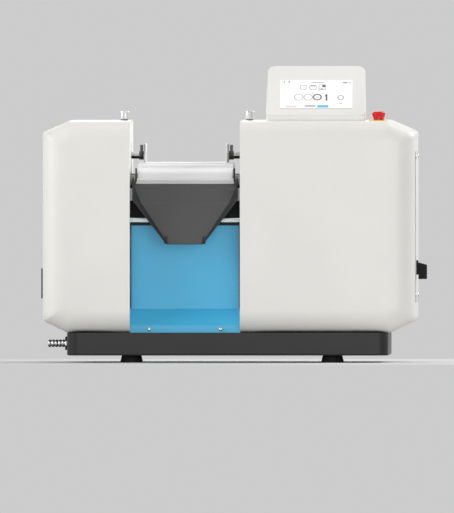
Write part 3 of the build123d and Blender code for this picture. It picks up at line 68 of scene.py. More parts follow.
left_low, left_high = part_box("left_cover")
right_low, right_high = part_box("right_cover")
bay_left, bay_right = left_high.x, right_low.x
bay_middle, bay_half = (bay_left + bay_right) / 2, (bay_right - bay_left) / 2
cover_top = right_high.z
rod_y, rod_z = 5.0 * mm, 434.0 * mm
tail_rows, tail_z = (-120.0 * mm, -60.0 * mm), 40.0 * mm
facing_left, facing_right, facing_up = (-1, 0, 0), (1, 0, 0), (0, 0, 1)
facing_front, facing_rear = (0, -1, 0), (0, 1, 0)
print("bay in mm:", round(1000 * bay_left, 1), "to", round(1000 * bay_right, 1))

# %% [markdown]
# ## Helpers for objects
# Blender keeps a mesh apart from the object that shows it, so a new piece takes a few steps: make the mesh, give
# it finishes, smooth it, and link its object to the scene. `keep` then ties the piece to the mill. It says which
# moving body the piece rides on, and whether it takes the place of a part, which is then hidden.

# %% Objects
def shown(name, data):
    """An object in the scene for that mesh, camera or lamp."""
    made = bpy.data.objects.new(name, data)
    bpy.context.scene.collection.objects.link(made)
    return made


def meshed(shell, name, finishes, sharp=None):
    """Turn a bmesh into an object with those finishes, and smooth it but for edges over that angle."""
    mesh = bpy.data.meshes.new(name)
    shell.to_mesh(mesh)
    shell.free()
    for finish in finishes:
        mesh.materials.append(finish)
    if sharp:
        mesh.shade_smooth()
        mesh.set_sharp_from_angle(angle=radians(sharp))
    print(name, "has", len(mesh.polygons), "faces")
    return shown(name, mesh)


def keep(piece, body, part, replaces=True):
    """Let the piece ride on a body. It takes the part's place, which is hidden, unless told not to."""
    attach(piece, body)
    if replaces:
        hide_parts(part)


# %% [markdown]
# ## Helpers for nodes
# Finishes and repeated shapes are both node trees. A script adds a node, fills its inputs, and links what comes
# out of it to the next one. `step` does that in one line.

# %% Nodes
def linked(tree, socket, value):
    """Link the value if it comes from another node, or set it on the socket."""
    if isinstance(value, bpy.types.NodeSocket):
        tree.links.new(value, socket)
    else:
        socket.default_value = value


def step(tree, kind, inputs=(), **settings):
    """Add one node with its settings, and fill its inputs by name or number."""
    made = tree.nodes.new(kind)
    for name, value in settings.items():
        setattr(made, name, value)
    for name, value in dict(inputs).items():
        linked(tree, made.inputs[name], value)
    return made


def maths(tree, operation, *values):
    """One Math node on one or two values."""
    return step(tree, "ShaderNodeMath", enumerate(values), operation=operation).outputs[0]


def place_on(tree):
    """The place on the object, in metres."""
    return step(tree, "ShaderNodeTexCoord").outputs["Object"]


# %% [markdown]
# ## Camera
# A photograph of a machine this flat, with both cover sides almost hidden, was taken from far away with a long
# lens. An orthographic camera gives that view: it looks a degree from the right and less than half a degree
# from above, so the floor is a thin line under the feet.

# %% Camera
view_yaw, view_pitch, view_distance = radians(1.0), radians(0.4), 6.0
picture_rows, row_size = 513, 2.1 * mm
aim = Vector((-16.0, 0.0, 221.6)) * mm
camera_data = bpy.data.cameras.new("camera")
camera_data.type = "ORTHO"
camera_data.ortho_scale = picture_rows * row_size
camera = shown("camera", camera_data)
toward = Vector((sin(view_yaw) * cos(view_pitch), -cos(view_yaw) * cos(view_pitch), sin(view_pitch)))
camera.location = aim + view_distance * toward
camera.rotation_euler = (pi / 2 - view_pitch, 0.0, view_yaw)
bpy.context.scene.camera = camera
bpy.context.scene.view_settings.view_transform = "Standard"
print("camera at", [round(c, 3) for c in camera.location])

# %% [markdown]
# ## Floor and light
# The floor and the world are the same pale grey. The camera and shiny surfaces see that grey itself, while the
# floor still takes the shadow of the machine. The light is soft and comes mostly from two large lamps, one on
# the left and one behind on the right, with a little from all around.

# %% Floor and world
white, studio_grey, floor_grey = (1.0, 1.0, 1.0, 1.0), (0.604, 0.604, 0.604, 1.0), (0.60, 0.60, 0.60, 1.0)
surround_strength = 0.52
floor_reach, fade_start, fade_end = 4.0, 0.45, 1.3


def seen_as_grey(tree, lit_shader, flat_shader):
    """Mix the lit shader with the flat grey one for rays from the camera and from gloss and glass."""
    rays = step(tree, "ShaderNodeLightPath").outputs
    either = maths(tree, "MAXIMUM", rays["Is Glossy Ray"], rays["Is Transmission Ray"])
    seen = maths(tree, "MAXIMUM", rays["Is Camera Ray"], either)
    return step(tree, "ShaderNodeMixShader", {0: seen, 1: lit_shader, 2: flat_shader}).outputs[0]


def bare_tree(owner):
    """The owner's node tree, emptied."""
    owner.use_nodes = True
    owner.node_tree.nodes.clear()
    return owner.node_tree


world = bpy.data.worlds.new("studio")
bpy.context.scene.world = world
tree = bare_tree(world)
around = step(tree, "ShaderNodeBackground", {"Color": white, "Strength": surround_strength}).outputs[0]
backdrop = step(tree, "ShaderNodeBackground", {"Color": studio_grey}).outputs[0]
step(tree, "ShaderNodeOutputWorld", {"Surface": seen_as_grey(tree, around, backdrop)})

floor_mesh = bpy.data.meshes.new("floor")
corners = [(x * floor_reach, y * floor_reach, 0) for x, y in ((-1, -1), (1, -1), (1, 1), (-1, 1))]
floor_mesh.from_pydata(corners, [], [(0, 1, 2, 3)])
floor_material = bpy.data.materials.new("studio_floor")
tree = bare_tree(floor_material)
matt = step(tree, "ShaderNodeBsdfDiffuse", {"Color": floor_grey}).outputs[0]
flat = step(tree, "ShaderNodeEmission", {"Color": studio_grey}).outputs[0]
distance = step(tree, "ShaderNodeVectorMath", {0: place_on(tree)}, operation="LENGTH").outputs["Value"]
ends = {"Value": distance, "From Min": fade_start, "From Max": fade_end}
fade = step(tree, "ShaderNodeMapRange", ends, interpolation_type="SMOOTHSTEP").outputs["Result"]
near_to_far = step(tree, "ShaderNodeMixShader", {0: fade, 1: matt, 2: flat}).outputs[0]
step(tree, "ShaderNodeOutputMaterial", {"Surface": seen_as_grey(tree, matt, near_to_far)})
floor_mesh.materials.append(floor_material)
floor = shown("floor", floor_mesh)


# %% Lamps
def lamp(name, place, aimed_at, width, height, power):
    """A rectangular lamp, in metres and watts, turned towards the point that it is aimed at."""
    data = bpy.data.lights.new(name, "AREA")
    data.shape = "RECTANGLE"
    data.size, data.size_y, data.energy = width, height, power
    holder = shown(name, data)
    holder.location = place
    holder.rotation_mode = "QUATERNION"
    holder.rotation_quaternion = (Vector(aimed_at) - Vector(place)).to_track_quat("-Z", "Y")


lamp("key_lamp", (-3.3, -1.2, 1.5), (0, 0, 0.25), 1.6, 1.6, 58)
lamp("top_lamp", (0.1, -0.2, 2.9), (0, 0, 0.3), 1.8, 1.2, 9)
lamp("fill_lamp", (1.3, -3.1, 0.9), (0, 0, 0.25), 1.4, 1.8, 20)
lamp("low_lamp", (-0.3, -3.2, 0.25), (0, 0, 0.2), 2.4, 0.4, 12)
lamp("right_lamp", (2.2, 1.5, 2.2), (0, 0, 0.35), 1.4, 1.4, 74)
lamp("rear_lamp", (-0.6, 2.8, 1.5), (0, 0, 0.3), 2.0, 1.4, 14)

# %% [markdown]
# ## Finishes
# Paint, rubber, ground steel and plastic differ in three things: colour, gloss and the fine relief of the
# surface. Each finish below is a Principled shader with two noises on Object coordinates, so the pattern has a
# real size in metres and stays put when a part moves. A broad one drifts the tone, and a fine one carries the
# gloss and the relief.

# %% Pattern of a finish
noise_low, noise_high = 0.3, 0.7


def noise(tree, per_metre, detail, stretch=(1.0, 1.0, 1.0)):
    """A noise of so many lumps a metre. A stretch under 1 on an axis draws the lumps out along it."""
    stretched = step(tree, "ShaderNodeMapping", {"Vector": place_on(tree), "Scale": stretch}).outputs["Vector"]
    return step(tree, "ShaderNodeTexNoise", {"Vector": stretched, "Scale": per_metre, "Detail": detail}).outputs["Fac"]


def between(tree, factor, low, high, start=noise_low, stop=noise_high):
    """Carry a factor that runs from start to stop over to a value from low to high."""
    ends = {"Value": factor, "From Min": start, "From Max": stop, "To Min": low, "To Max": high}
    return step(tree, "ShaderNodeMapRange", ends).outputs["Result"]


def tinted(tree, factor, dark, light):
    """Carry a noise over to a tone from dark to light."""
    ramp = step(tree, "ShaderNodeValToRGB", {"Fac": factor})
    for element, place, colour in zip(ramp.color_ramp.elements, (noise_low, noise_high), (dark, light)):
        element.position = place
        element.color = (*colour, 1.0)
    return ramp.outputs["Color"]


def drifted(colour, drift):
    """The colour, darker and lighter by a share."""
    return [tuple(min(1.0, c * amount) for c in colour) for amount in (1.0 - drift, 1.0 + drift)]


def patterned(name, tones, cloud, rough, gloss_drift, grain, depth, metal=0.0, shine=0.5):
    """A finish whose tone follows the cloud, and whose gloss and relief, in microns deep, follow the grain."""
    material = bpy.data.materials.new(name)
    material.use_nodes = True
    tree = material.node_tree
    fine = noise(tree, *grain)
    bump = step(tree, "ShaderNodeBump", {"Height": fine, "Distance": depth * micron, "Strength": 1.0})
    values = {
        "Metallic": metal,
        "Specular IOR Level": shine,
        "Base Color": tinted(tree, noise(tree, *cloud), *tones),
        "Roughness": between(tree, fine, rough - gloss_drift, rough + gloss_drift),
        "Normal": bump.outputs["Normal"],
    }
    for label, value in values.items():
        linked(tree, tree.nodes["Principled BSDF"].inputs[label], value)
    return material


# %% [markdown]
# ### Paint
# Powder coat is sprayed as dust and baked. Up close it has a soft orange-peel relief, and over a whole panel its
# tone drifts a little.

# %% Painted sheet and castings
def paint(name, colour, rough=0.42, peel=420.0, depth=30.0, drift=0.02, shine=0.5):
    return patterned(name, drifted(colour, drift), (7.0, 2.0), rough, 0.05, (peel, 2.0), depth, shine=shine)


cream_paint = paint("cream_paint", (0.742, 0.734, 0.698), rough=0.40)
# The inner skins' white is partly the sheet's own white and partly painted light from the lamp on the right.
white_paint_with_painted_light = paint("white_paint_with_painted_light", (0.93, 0.93, 0.92), rough=0.38)
blue_paint = paint("blue_paint", (0.057, 0.432, 0.70), rough=0.40, drift=0.03)
base_paint = paint("base_paint", (0.018, 0.018, 0.0178), rough=0.38, peel=900.0, depth=10.0, drift=0.06, shine=0.3)
chute_paint = paint("chute_paint", (0.066, 0.066, 0.066), rough=0.6, peel=1100.0, depth=20.0, drift=0.04)
# Painted shade: a near-black copy of the chute paint for the chute's walls and small blocks.
chute_wall_painted_shade = paint("chute_wall_painted_shade", (0.014, 0.014, 0.0145), rough=0.6, peel=1100.0, depth=20.0, drift=0.06)
# The cross beam's black is partly its own paint and partly painted shade of the dark hollow under the rollers.
beam_paint_and_painted_shade = paint("beam_paint_and_painted_shade", (0.0025, 0.003, 0.0032), rough=0.6, peel=900.0, drift=0.08, shine=0.2)
frame_paint = paint("frame_paint", (0.16, 0.175, 0.18), rough=0.5, peel=500.0, depth=100.0, drift=0.06)
motor_paint = paint("motor_paint", (0.05, 0.075, 0.1), rough=0.45, peel=600.0, depth=80.0, drift=0.05)

# %% [markdown]
# The covers are deep drawn, so their corners run softly into one another. The Bevel node rounds the shading over
# that width. It fades out towards the bay, where the sheet has a plain folded edge.

# %% Soft corners of the covers
corner_softness, plain_until, soft_from = 24 * mm, 30 * mm, 80 * mm
tree = cream_paint.node_tree
soft = step(tree, "ShaderNodeBevel", {"Radius": corner_softness}, samples=8).outputs["Normal"]
plain = step(tree, "ShaderNodeNewGeometry").outputs["Normal"]
across = step(tree, "ShaderNodeSeparateXYZ", {"Vector": place_on(tree)}).outputs["X"]
from_bay = maths(tree, "ABSOLUTE", maths(tree, "SUBTRACT", across, bay_middle))
share = between(tree, from_bay, 0.0, 1.0, bay_half + plain_until, bay_half + soft_from)
blend = step(tree, "ShaderNodeMix", {0: share, 4: plain, 5: soft}, data_type="VECTOR").outputs[1]
bump = next(node for node in tree.nodes if node.type == "BUMP")
linked(tree, bump.inputs["Normal"], blend)

# %% [markdown]
# ### Metal
# Ground and turned steel carries fine lines from the tool. On a roller they run round the axis, so the noise is
# packed close along X and drawn out across it. The lines change the gloss more than the colour. On the round
# bars, light and shade are painted into the colour by height: a painted lit top and painted shade below on the
# rods, and a painted highlight band with painted shade above and below on the hose tails.

# %% Steel and aluminium
along_x, around_x, flat_grain, upright = (0.02, 1.0, 1.0), (1.0, 0.02, 0.02), (1.0, 1.0, 1.0), (0.05, 0.05, 1.0)


def lined_metal(name, colour, rough, stretch, lines=900.0, depth=0.8, stain=0.03, metal=1.0):
    tones = (drifted(colour, stain)[0], colour)
    return patterned(name, tones, (24.0, 3.0), rough, 0.03, (lines, 2.0, stretch), depth, metal)


roller_steel = lined_metal("roller_steel", (0.80, 0.80, 0.80), 0.44, around_x, metal=0.5)
blade_steel = lined_metal("blade_steel", (0.60, 0.60, 0.60), 0.40, along_x, metal=0.5)
tray_steel = lined_metal("tray_steel", (0.58, 0.635, 0.655), 0.34, along_x, metal=0.3)
holder_steel = lined_metal("holder_steel", (0.34, 0.34, 0.34), 0.36, flat_grain, metal=0.8)
gunmetal = lined_metal("gunmetal", (0.13, 0.13, 0.13), 0.42, flat_grain, metal=0.8)
screw_steel = lined_metal("screw_steel", (0.62, 0.62, 0.63), 0.24, flat_grain, lines=500.0)
knob_aluminium = lined_metal("knob_aluminium", (0.69, 0.69, 0.70), 0.40, upright, depth=0.1, metal=0.7)
hose_steel = lined_metal("hose_steel", (0.42, 0.42, 0.42), 0.22, around_x)
bearing_steel = lined_metal("bearing_steel", (0.22, 0.22, 0.22), 0.38, around_x)
gear_steel = lined_metal("gear_steel", (0.40, 0.39, 0.38), 0.34, around_x, stain=0.25)
block_steel = lined_metal("block_steel", (0.30, 0.30, 0.30), 0.36, flat_grain, lines=300.0, stain=0.12)
pulley_aluminium = lined_metal("pulley_aluminium", (0.66, 0.67, 0.68), 0.32, around_x)
rod_steel = lined_metal("rod_steel", (0.60, 0.60, 0.60), 0.50, around_x, metal=0.0)


def painted_light_by_height(finish, axis_z, stops):
    """Paint light and shade into the colour of a bar by height, given as (millimetres over its axis, grey)."""
    tree = finish.node_tree
    height = step(tree, "ShaderNodeSeparateXYZ", {"Vector": place_on(tree)}).outputs["Z"]
    low, high = stops[0][0], stops[-1][0]
    share = between(tree, height, 0.0, 1.0, axis_z + low * mm, axis_z + high * mm)
    ramp = step(tree, "ShaderNodeValToRGB", {"Fac": share})
    for above, grey in stops[1:-1]:
        ramp.color_ramp.elements.new((above - low) / (high - low))
    for element, (above, grey) in zip(ramp.color_ramp.elements, stops):
        element.color = (grey, grey, grey, 1.0)
    linked(tree, tree.nodes["Principled BSDF"].inputs["Base Color"], ramp.outputs["Color"])


# Painted light: the rods are painted bright on top with painted shade below, and the hose tails get a painted highlight
# band round the middle with painted shade above and below.
painted_light_by_height(rod_steel, rod_z, [(-4.0, 0.008), (-1.5, 0.012), (-0.7, 0.85), (8.0, 0.95)])
painted_light_by_height(hose_steel, tail_z, [(-5.5, 0.01), (-2.5, 0.60), (2.5, 0.65), (5.5, 0.06)])

# %% [markdown]
# ### Rubber and plastic
# Rubber is nearly black, dull, and slightly dusty. Moulded plastic has a faint leather-like grain. The stop
# button's red has the closest gloss of all.

# %% Rubber and plastic
def moulded(name, colour, rough=0.5, grain=1400.0, depth=30.0, drift=0.04, shine=0.5, glow=0.0):
    material = patterned(name, drifted(colour, drift), (40.0, 3.0), rough, 0.06, (grain, 2.0), depth, shine=shine)
    shader = material.node_tree.nodes["Principled BSDF"]
    shader.inputs["Emission Color"].default_value = (*colour, 1.0)
    shader.inputs["Emission Strength"].default_value = glow
    return material


black_rubber = moulded("black_rubber", (0.016, 0.016, 0.016), 0.7, grain=700.0, depth=40.0, drift=0.2, shine=0.4)
belt_rubber = moulded("belt_rubber", (0.016, 0.016, 0.017), 0.72, grain=900.0, depth=100.0, drift=0.2)
switch_plastic = moulded("switch_plastic", (0.005, 0.005, 0.006), shine=0.18)
vent_plastic = moulded("vent_plastic", (0.035, 0.035, 0.036))
housing_plastic = moulded("housing_plastic", (0.785, 0.778, 0.748), 0.42, drift=0.01)
dam_plastic = moulded("dam_plastic", (0.86, 0.86, 0.85), 0.34, depth=10.0, drift=0.01)
stop_red = moulded("stop_red", (0.62, 0.002, 0.003), 0.17, depth=1.0, shine=0.4)
stop_yellow = moulded("stop_yellow", (0.78, 0.60, 0.10), 0.42)
inverter_plastic = moulded("inverter_plastic", (0.06, 0.062, 0.065))
print("finishes:", len(bpy.data.materials))

# %% Put the finishes on the mill's own parts
worn_by = {
    cream_paint: [
        "left_cover", "right_cover", "side_access_panel", "left_rear_panel", "right_rear_panel", "display_bracket",
    ],
    white_paint_with_painted_light: ["left_inner_skin", "right_inner_skin"],
    blue_paint: ["splash_panel"],
    base_paint: ["base_pan", "chassis_plate"],
    chute_paint: ["discharge_chute"],
    beam_paint_and_painted_shade: ["cross_beam"],
    frame_paint: ["left_side_frame", "right_side_frame"],
    motor_paint: ["drive_motor"],
    roller_steel: ["apron_roller", "centre_roller", "feed_roller"],
    blade_steel: ["scraper_blade"],
    tray_steel: ["drip_tray", "chute_pivot_pins"],
    rod_steel: ["left_dam_rod", "right_dam_rod"],
    holder_steel: ["frame_tie_bars", "motor_shaft"],
    screw_steel: ["dome_screws", "apron_left_screw", "apron_right_screw", "feed_left_screw", "feed_right_screw"],
    knob_aluminium: ["left_lock_knob", "right_lock_knob"],
    hose_steel: ["hose_tails"],
    bearing_steel: ["apron_bearings", "centre_bearings", "feed_bearings"],
    gear_steel: ["apron_gear", "centre_gears", "feed_gear"],
    block_steel: ["apron_bearing_blocks", "centre_bearing_blocks", "feed_bearing_blocks"],
    pulley_aluminium: ["centre_pulley", "motor_pulley"],
    black_rubber: ["rubber_feet"],
    belt_rubber: ["drive_belt"],
    switch_plastic: ["switch_lever", "switch_plate", "power_inlet", "gap_motors"],
    vent_plastic: ["vent_grille"],
    housing_plastic: ["display_housing", "display_screen"],
    dam_plastic: ["left_dam_plate", "right_dam_plate"],
    stop_red: ["estop_head", "estop_stem"],
    stop_yellow: ["estop_ring"],
    inverter_plastic: ["inverter_unit"],
}
for finish, names in worn_by.items():
    for name in names:
        nodes[name].material_slots[0].material = finish
print("parts with a finish:", sum(len(names) for names in worn_by.values()), "of", len(nodes))

# %% [markdown]
# ## A kit for Geometry Nodes
# Turned parts such as screws, knobs, feet and hose tails all have one rule: a profile that goes round an axis.
# So one node tree turns any profile, and puts a copy at every place where it is needed. The profile is a row of
# points: how far out, how high, and how much of the ridges each point takes.

# %% Start and end a tree
def new_tree(name, *sizes):
    """A geometry tree with named inputs, each given as (name, kind, value)."""
    tree = bpy.data.node_groups.new(name, "GeometryNodeTree")
    tree.interface.new_socket("Geometry", in_out="INPUT", socket_type="NodeSocketGeometry")
    for label, kind, value in sizes:
        socket = tree.interface.new_socket(label, in_out="INPUT", socket_type="NodeSocket" + kind)
        if value is not None:
            socket.default_value = value
    tree.interface.new_socket("Geometry", in_out="OUTPUT", socket_type="NodeSocketGeometry")
    return tree, tree.nodes.new("NodeGroupInput").outputs, tree.nodes.new("NodeGroupOutput").inputs[0]


def delivered(tree, copies, finish, out):
    """End a tree: make its copies real, put the finish on them, and send them out."""
    real = step(tree, "GeometryNodeRealizeInstances", {"Geometry": copies}).outputs[0]
    linked(tree, out, step(tree, "GeometryNodeSetMaterial", {"Geometry": real, "Material": finish}).outputs[0])
    print(tree.name, "tree:", len(tree.nodes), "nodes")


# %% Run a tree and keep a plain mesh
def points_object(name, places, facing=None):
    """An object of loose points, and, if given, the way that they all face."""
    mesh = bpy.data.meshes.new(name)
    mesh.from_pydata(places, [], [])
    if facing:
        attribute = mesh.attributes.new("facing", "FLOAT_VECTOR", "POINT")
        attribute.data.foreach_set("vector", list(facing) * len(places))
    return shown(name, mesh)


def grown(seed, tree, sizes, sharp=35.0):
    """Evaluate the tree on the seed object, keep the result as its plain mesh, and drop the modifier."""
    modifier = seed.modifiers.new("grow", "NODES")
    modifier.node_group = tree
    for item in tree.interface.items_tree:
        if item.in_out == "INPUT" and item.name in sizes:
            modifier[item.identifier] = sizes[item.name]
    seed.update_tag()
    seen = seed.evaluated_get(bpy.context.evaluated_depsgraph_get())
    plain = bpy.data.meshes.new_from_object(seen)
    seed.modifiers.clear()
    seed.data = plain
    plain.shade_smooth()
    plain.set_sharp_from_angle(angle=radians(sharp))
    print(seed.name, "has", len(plain.polygons), "faces")
    return seed


# %% The turning tree
turning, taken, out = new_tree(
    "turning",
    ("Profile", "Object", None),
    ("Steps", "Int", 48),
    ("Ridges", "Int", 0),
    ("Ridge Depth", "Float", 0.0),
    ("Finish", "Material", None),
)
profile = step(turning, "GeometryNodeObjectInfo", {"Object": taken["Profile"]}).outputs["Geometry"]
rows = step(turning, "GeometryNodeAttributeDomainSize", {"Geometry": profile}).outputs["Point Count"]
columns = maths(turning, "ADD", taken["Steps"], 1.0)
sheet_grid = step(turning, "GeometryNodeMeshGrid", {"Vertices X": columns, "Vertices Y": rows}).outputs["Mesh"]
index = step(turning, "GeometryNodeInputIndex").outputs[0]
row = maths(turning, "MODULO", index, rows)
column = maths(turning, "FLOOR", maths(turning, "DIVIDE", maths(turning, "ADD", index, 0.5), rows))
place = step(turning, "GeometryNodeInputPosition").outputs[0]
picked = step(
    turning, "GeometryNodeSampleIndex", {"Geometry": profile, "Index": row}, data_type="FLOAT_VECTOR", domain="POINT"
)
linked(turning, next(s for s in picked.inputs if s.name == "Value" and s.enabled), place)
read = step(turning, "ShaderNodeSeparateXYZ", {"Vector": next(s for s in picked.outputs if s.enabled)}).outputs
turn = maths(turning, "DIVIDE", column, taken["Steps"])
ridge = maths(turning, "PINGPONG", maths(turning, "MULTIPLY", turn, taken["Ridges"]), 0.5)
wave = maths(turning, "MULTIPLY", ridge, 2.0)
cut = maths(turning, "MULTIPLY", maths(turning, "MULTIPLY", wave, taken["Ridge Depth"]), read["Y"])
radius = maths(turning, "SUBTRACT", read["X"], cut)
angle = maths(turning, "MULTIPLY", turn, 2 * pi)
around_axis = step(turning, "ShaderNodeCombineXYZ", {
    "X": maths(turning, "MULTIPLY", radius, maths(turning, "COSINE", angle)),
    "Y": maths(turning, "MULTIPLY", radius, maths(turning, "SINE", angle)),
    "Z": read["Z"],
}).outputs[0]
wrapped = step(turning, "GeometryNodeSetPosition", {"Geometry": sheet_grid, "Position": around_axis}).outputs[0]
closed = step(turning, "GeometryNodeMergeByDistance", {"Geometry": wrapped, "Distance": 2 * micron}).outputs[0]
facing = step(turning, "GeometryNodeInputNamedAttribute", {"Name": "facing"}, data_type="FLOAT_VECTOR")
turned_to = step(
    turning, "FunctionNodeAlignRotationToVector", {"Vector": next(s for s in facing.outputs if s.enabled)}, axis="Z"
).outputs[0]
copies = step(
    turning, "GeometryNodeInstanceOnPoints",
    {"Points": taken["Geometry"], "Instance": closed, "Rotation": turned_to},
).outputs[0]
delivered(turning, copies, taken["Finish"], out)


# %% Turn a profile
def turned(name, outline, places, facing, finish, steps=48, ridges=0, depth=0.0, sharp=35.0):
    """Turn an outline of (radius, height) or (radius, height, share of the ridges) in millimetres, at every place."""
    profile_points = [(p[0] * mm, p[2] if len(p) > 2 else 0.0, p[1] * mm) for p in outline]
    guide = points_object(name + "_outline", profile_points)
    seed = points_object(name, places, facing)
    sizes = {"Profile": guide, "Steps": steps, "Ridges": ridges, "Ridge Depth": depth * mm, "Finish": finish}
    made = grown(seed, turning, sizes, sharp)
    bpy.data.objects.remove(guide)
    return made


# %% [markdown]
# ## Rollers
# The three rollers are the heart of the mill. Each is a hollow steel barrel, ground and polished, with a journal
# at both ends that turns in a bearing, and a thinner tail that carries a gear. That is a lathe's work, so the
# turning tree makes them from one list of steps along the axis.

# %% Turn the rollers
barrel_radius, journal_radius, seat_radius, gear_radius, bore_radius = 40.0, 16.5, 12.5, 11.0, 5.0
roller_end_gap, bore_past_end = 15.85, 20.0
left_shoulder, right_shoulder, right_seat_end = -227.05, 25.05, 43.35
barrel_left, barrel_right = bay_left / mm + roller_end_gap, bay_right / mm - roller_end_gap
bore_end = barrel_left + bore_past_end


def stepped(segments, edge=0.6):
    """An outline of cylinders, each (start, end, radius), with a small chamfer on every edge."""
    outline = []
    for start, stop, radius in segments:
        outline += [(radius - edge, start), (radius, start + edge), (radius, stop - edge), (radius - edge, stop)]
    return outline


for name in ("apron", "centre", "feed"):
    low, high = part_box(name + "_roller")
    axis = [(0, (low.y + high.y) / 2, (low.z + high.z) / 2)]
    left_end, right_end = low.x / mm, high.x / mm
    barrel = stepped([(barrel_left, barrel_right, barrel_radius)])
    left_shaft = stepped([(left_end, left_shoulder, seat_radius), (left_shoulder, barrel_left, journal_radius)])
    right_shaft = stepped([
        (barrel_right, right_shoulder, journal_radius),
        (right_shoulder, right_seat_end, seat_radius),
        (right_seat_end, right_end, gear_radius),
    ])
    bore = [(0, bore_end), (bore_radius, bore_end), (bore_radius, left_end)]
    for part, outline, finish in (
        ("barrel", [(0, barrel_left)] + barrel + [(0, barrel_right)], roller_steel),
        ("left_shaft", bore + left_shaft + [(0, barrel_left)], bearing_steel),
        ("right_shaft", [(0, barrel_right)] + right_shaft + [(0, right_end)], bearing_steel),
    ):
        piece = turned(name + "_" + part, outline, axis, facing_right, finish, steps=120)
        keep(piece, name + "_roll", name + "_roller")

# %% [markdown]
# ## Small turned parts
# The base stands on four rubber feet. Two barbed tails for cooling water stick out of its left end, side by
# side. Dome-headed screws with a hexagonal socket hold the splash panel, the access panel and the rear panels.
# The turning tree makes them too, so each only needs an outline.

# %% Feet
foot_columns, foot_rows = (-216.45 * mm, 205.45 * mm), (-150.0 * mm, 150.0 * mm)
foot_places = [(x, y, 0.0) for x in foot_columns for y in foot_rows]
foot_outline = [
    (0, 0), (19.4, 0), (20.6, 0.5), (21, 1.6), (20.8, 3.0), (20.1, 5.6), (19.5, 5.9), (19.4, 6.6), (19.7, 7.0),
    (18.2, 13.4), (17.2, 15), (4, 15), (4, 29), (0, 29),
]
feet = turned("turned_feet", foot_outline, foot_places, facing_up, black_rubber, steps=64)
keep(feet, "frame", "rubber_feet")

# %% Hose tails
tail_places = [(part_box("base_pan")[0].x, y, tail_z) for y in tail_rows]
tail_bore, tail_core, tail_rib, stem_radius, stem_start = 4.5, 6.3, 7.8, 8, -12
nut_thickness, rib_count, rib_pitch = 5.0, 5, 7.16
rib = [(tail_core, 0.3), (tail_core, 0.9), (tail_rib - 0.5, 2.0), (tail_rib, 3.2), (tail_rib, 4.4),
       (tail_rib - 0.4, 5.5), (tail_core, 6.8)]
tail_outline = [(tail_bore, stem_start), (stem_radius, stem_start), (stem_radius, 0), (stem_radius, nut_thickness)]
for count in range(rib_count):
    tail_outline += [(radius, nut_thickness + count * rib_pitch + along) for radius, along in rib]
tail_end = nut_thickness + rib_count * rib_pitch
tail_outline += [
    (tail_core, tail_end - 0.4), (tail_core - 0.5, tail_end), (tail_bore, tail_end), (tail_bore, stem_start),
]
tails = turned("turned_hose_tails", tail_outline, tail_places, facing_left, hose_steel, steps=48)
keep(tails, "frame", "hose_tails")
nut_outline = [
    (stem_radius, 0), (13.9, 0), (14, 0.4), (14, 4.2), (13.1, nut_thickness), (stem_radius, nut_thickness),
    (stem_radius, 0),
]
nuts = turned("hose_tail_hexagons", nut_outline, tail_places, facing_left, hose_steel, steps=6)
keep(nuts, "frame", "hose_tails", replaces=False)

# %% Dome screws
dome_outline = [
    (0, -6), (1.9, -6), (1.9, 0), (4.0, 0), (4.2, 0.3), (4.1, 0.9), (3.7, 1.6), (3.1, 2.1), (2.4, 2.45),
    (1.85, 2.6), (1.7, 2.5, 1), (1.7, 1.3, 1), (0, 1.0),
]
low_share = 0.45
low_outline = [(radius, height * low_share, *share) for radius, height, *share in dome_outline]
screw_steps, socket_sides, socket_cut = 36, 6, 0.23
panel_screw_half, panel_screw_z = 75 * mm, 70.5 * mm
access_inset, rear_inset_x, rear_inset_z = 12 * mm, 14 * mm, 36 * mm
panel_low, panel_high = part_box("splash_panel")
access_low, access_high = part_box("side_access_panel")
panel_screws = [(x, panel_low.y, panel_screw_z) for x in (bay_middle - panel_screw_half, bay_middle + panel_screw_half)]
access_screws = [
    (access_high.x, y, z)
    for y in (access_low.y + access_inset, access_high.y - access_inset)
    for z in (access_low.z + access_inset, access_high.z - access_inset)
]
rear_screws = []
for low, high in (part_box("left_rear_panel"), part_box("right_rear_panel")):
    for x in (low.x + rear_inset_x, high.x - rear_inset_x):
        rear_screws += [(x, high.y, z) for z in (low.z + rear_inset_z, high.z - rear_inset_z)]
screw_rows = (
    ("hex_socket_screws", dome_outline, panel_screws, facing_front, True),
    ("access_panel_screws", low_outline, access_screws, facing_right, True),
    ("rear_panel_screws", dome_outline, rear_screws, facing_rear, False),
)
for name, outline, places, facing_way, replaces in screw_rows:
    screws = turned(name, outline, places, facing_way, screw_steel, screw_steps, socket_sides, socket_cut)
    keep(screws, "frame", "dome_screws", replaces)

# %% [markdown]
# ## Hold-down knobs
# Two aluminium knobs clamp the covers to the frame. Each is a plain turned cylinder with a shallow dish on top,
# over a dark collar that leaves a narrow gap above the cover.

# %% Knobs
seat_gap, collar_height, head_radius = 0.3, 2.0, 10
for side in ("left", "right"):
    low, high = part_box(side + "_lock_knob")
    seat_z = cover_top / mm + seat_gap
    stud_end, head_end = low.z / mm - seat_z, high.z / mm - seat_z
    at = [((low.x + high.x) / 2, (low.y + high.y) / 2, seat_z * mm)]
    head_outline = [
        (0, collar_height), (9.4, collar_height), (9.8, 2.2), (head_radius, 2.8), (head_radius, head_end - 0.8),
        (9.8, head_end - 0.3), (9.3, head_end), (3.2, head_end), (2.7, head_end - 0.5), (0, head_end - 0.5),
    ]
    collar_outline = [
        (0, stud_end), (4, stud_end), (4, 0), (7.3, 0), (7.7, 0.3), (7.7, collar_height), (0, collar_height),
    ]
    for part, outline, finish in (("knob", head_outline, knob_aluminium), ("collar", collar_outline, gunmetal)):
        piece = turned(side + "_clamp_" + part, outline, at, facing_up, finish, 96, sharp=50.0)
        keep(piece, side + "_knob", side + "_lock_knob")

# %% [markdown]
# ## Stop button
# The stop button is a red mushroom on a yellow ring. It has to be found and twisted by a gloved hand, so the
# skirt under its brim is cut with shallow grips.

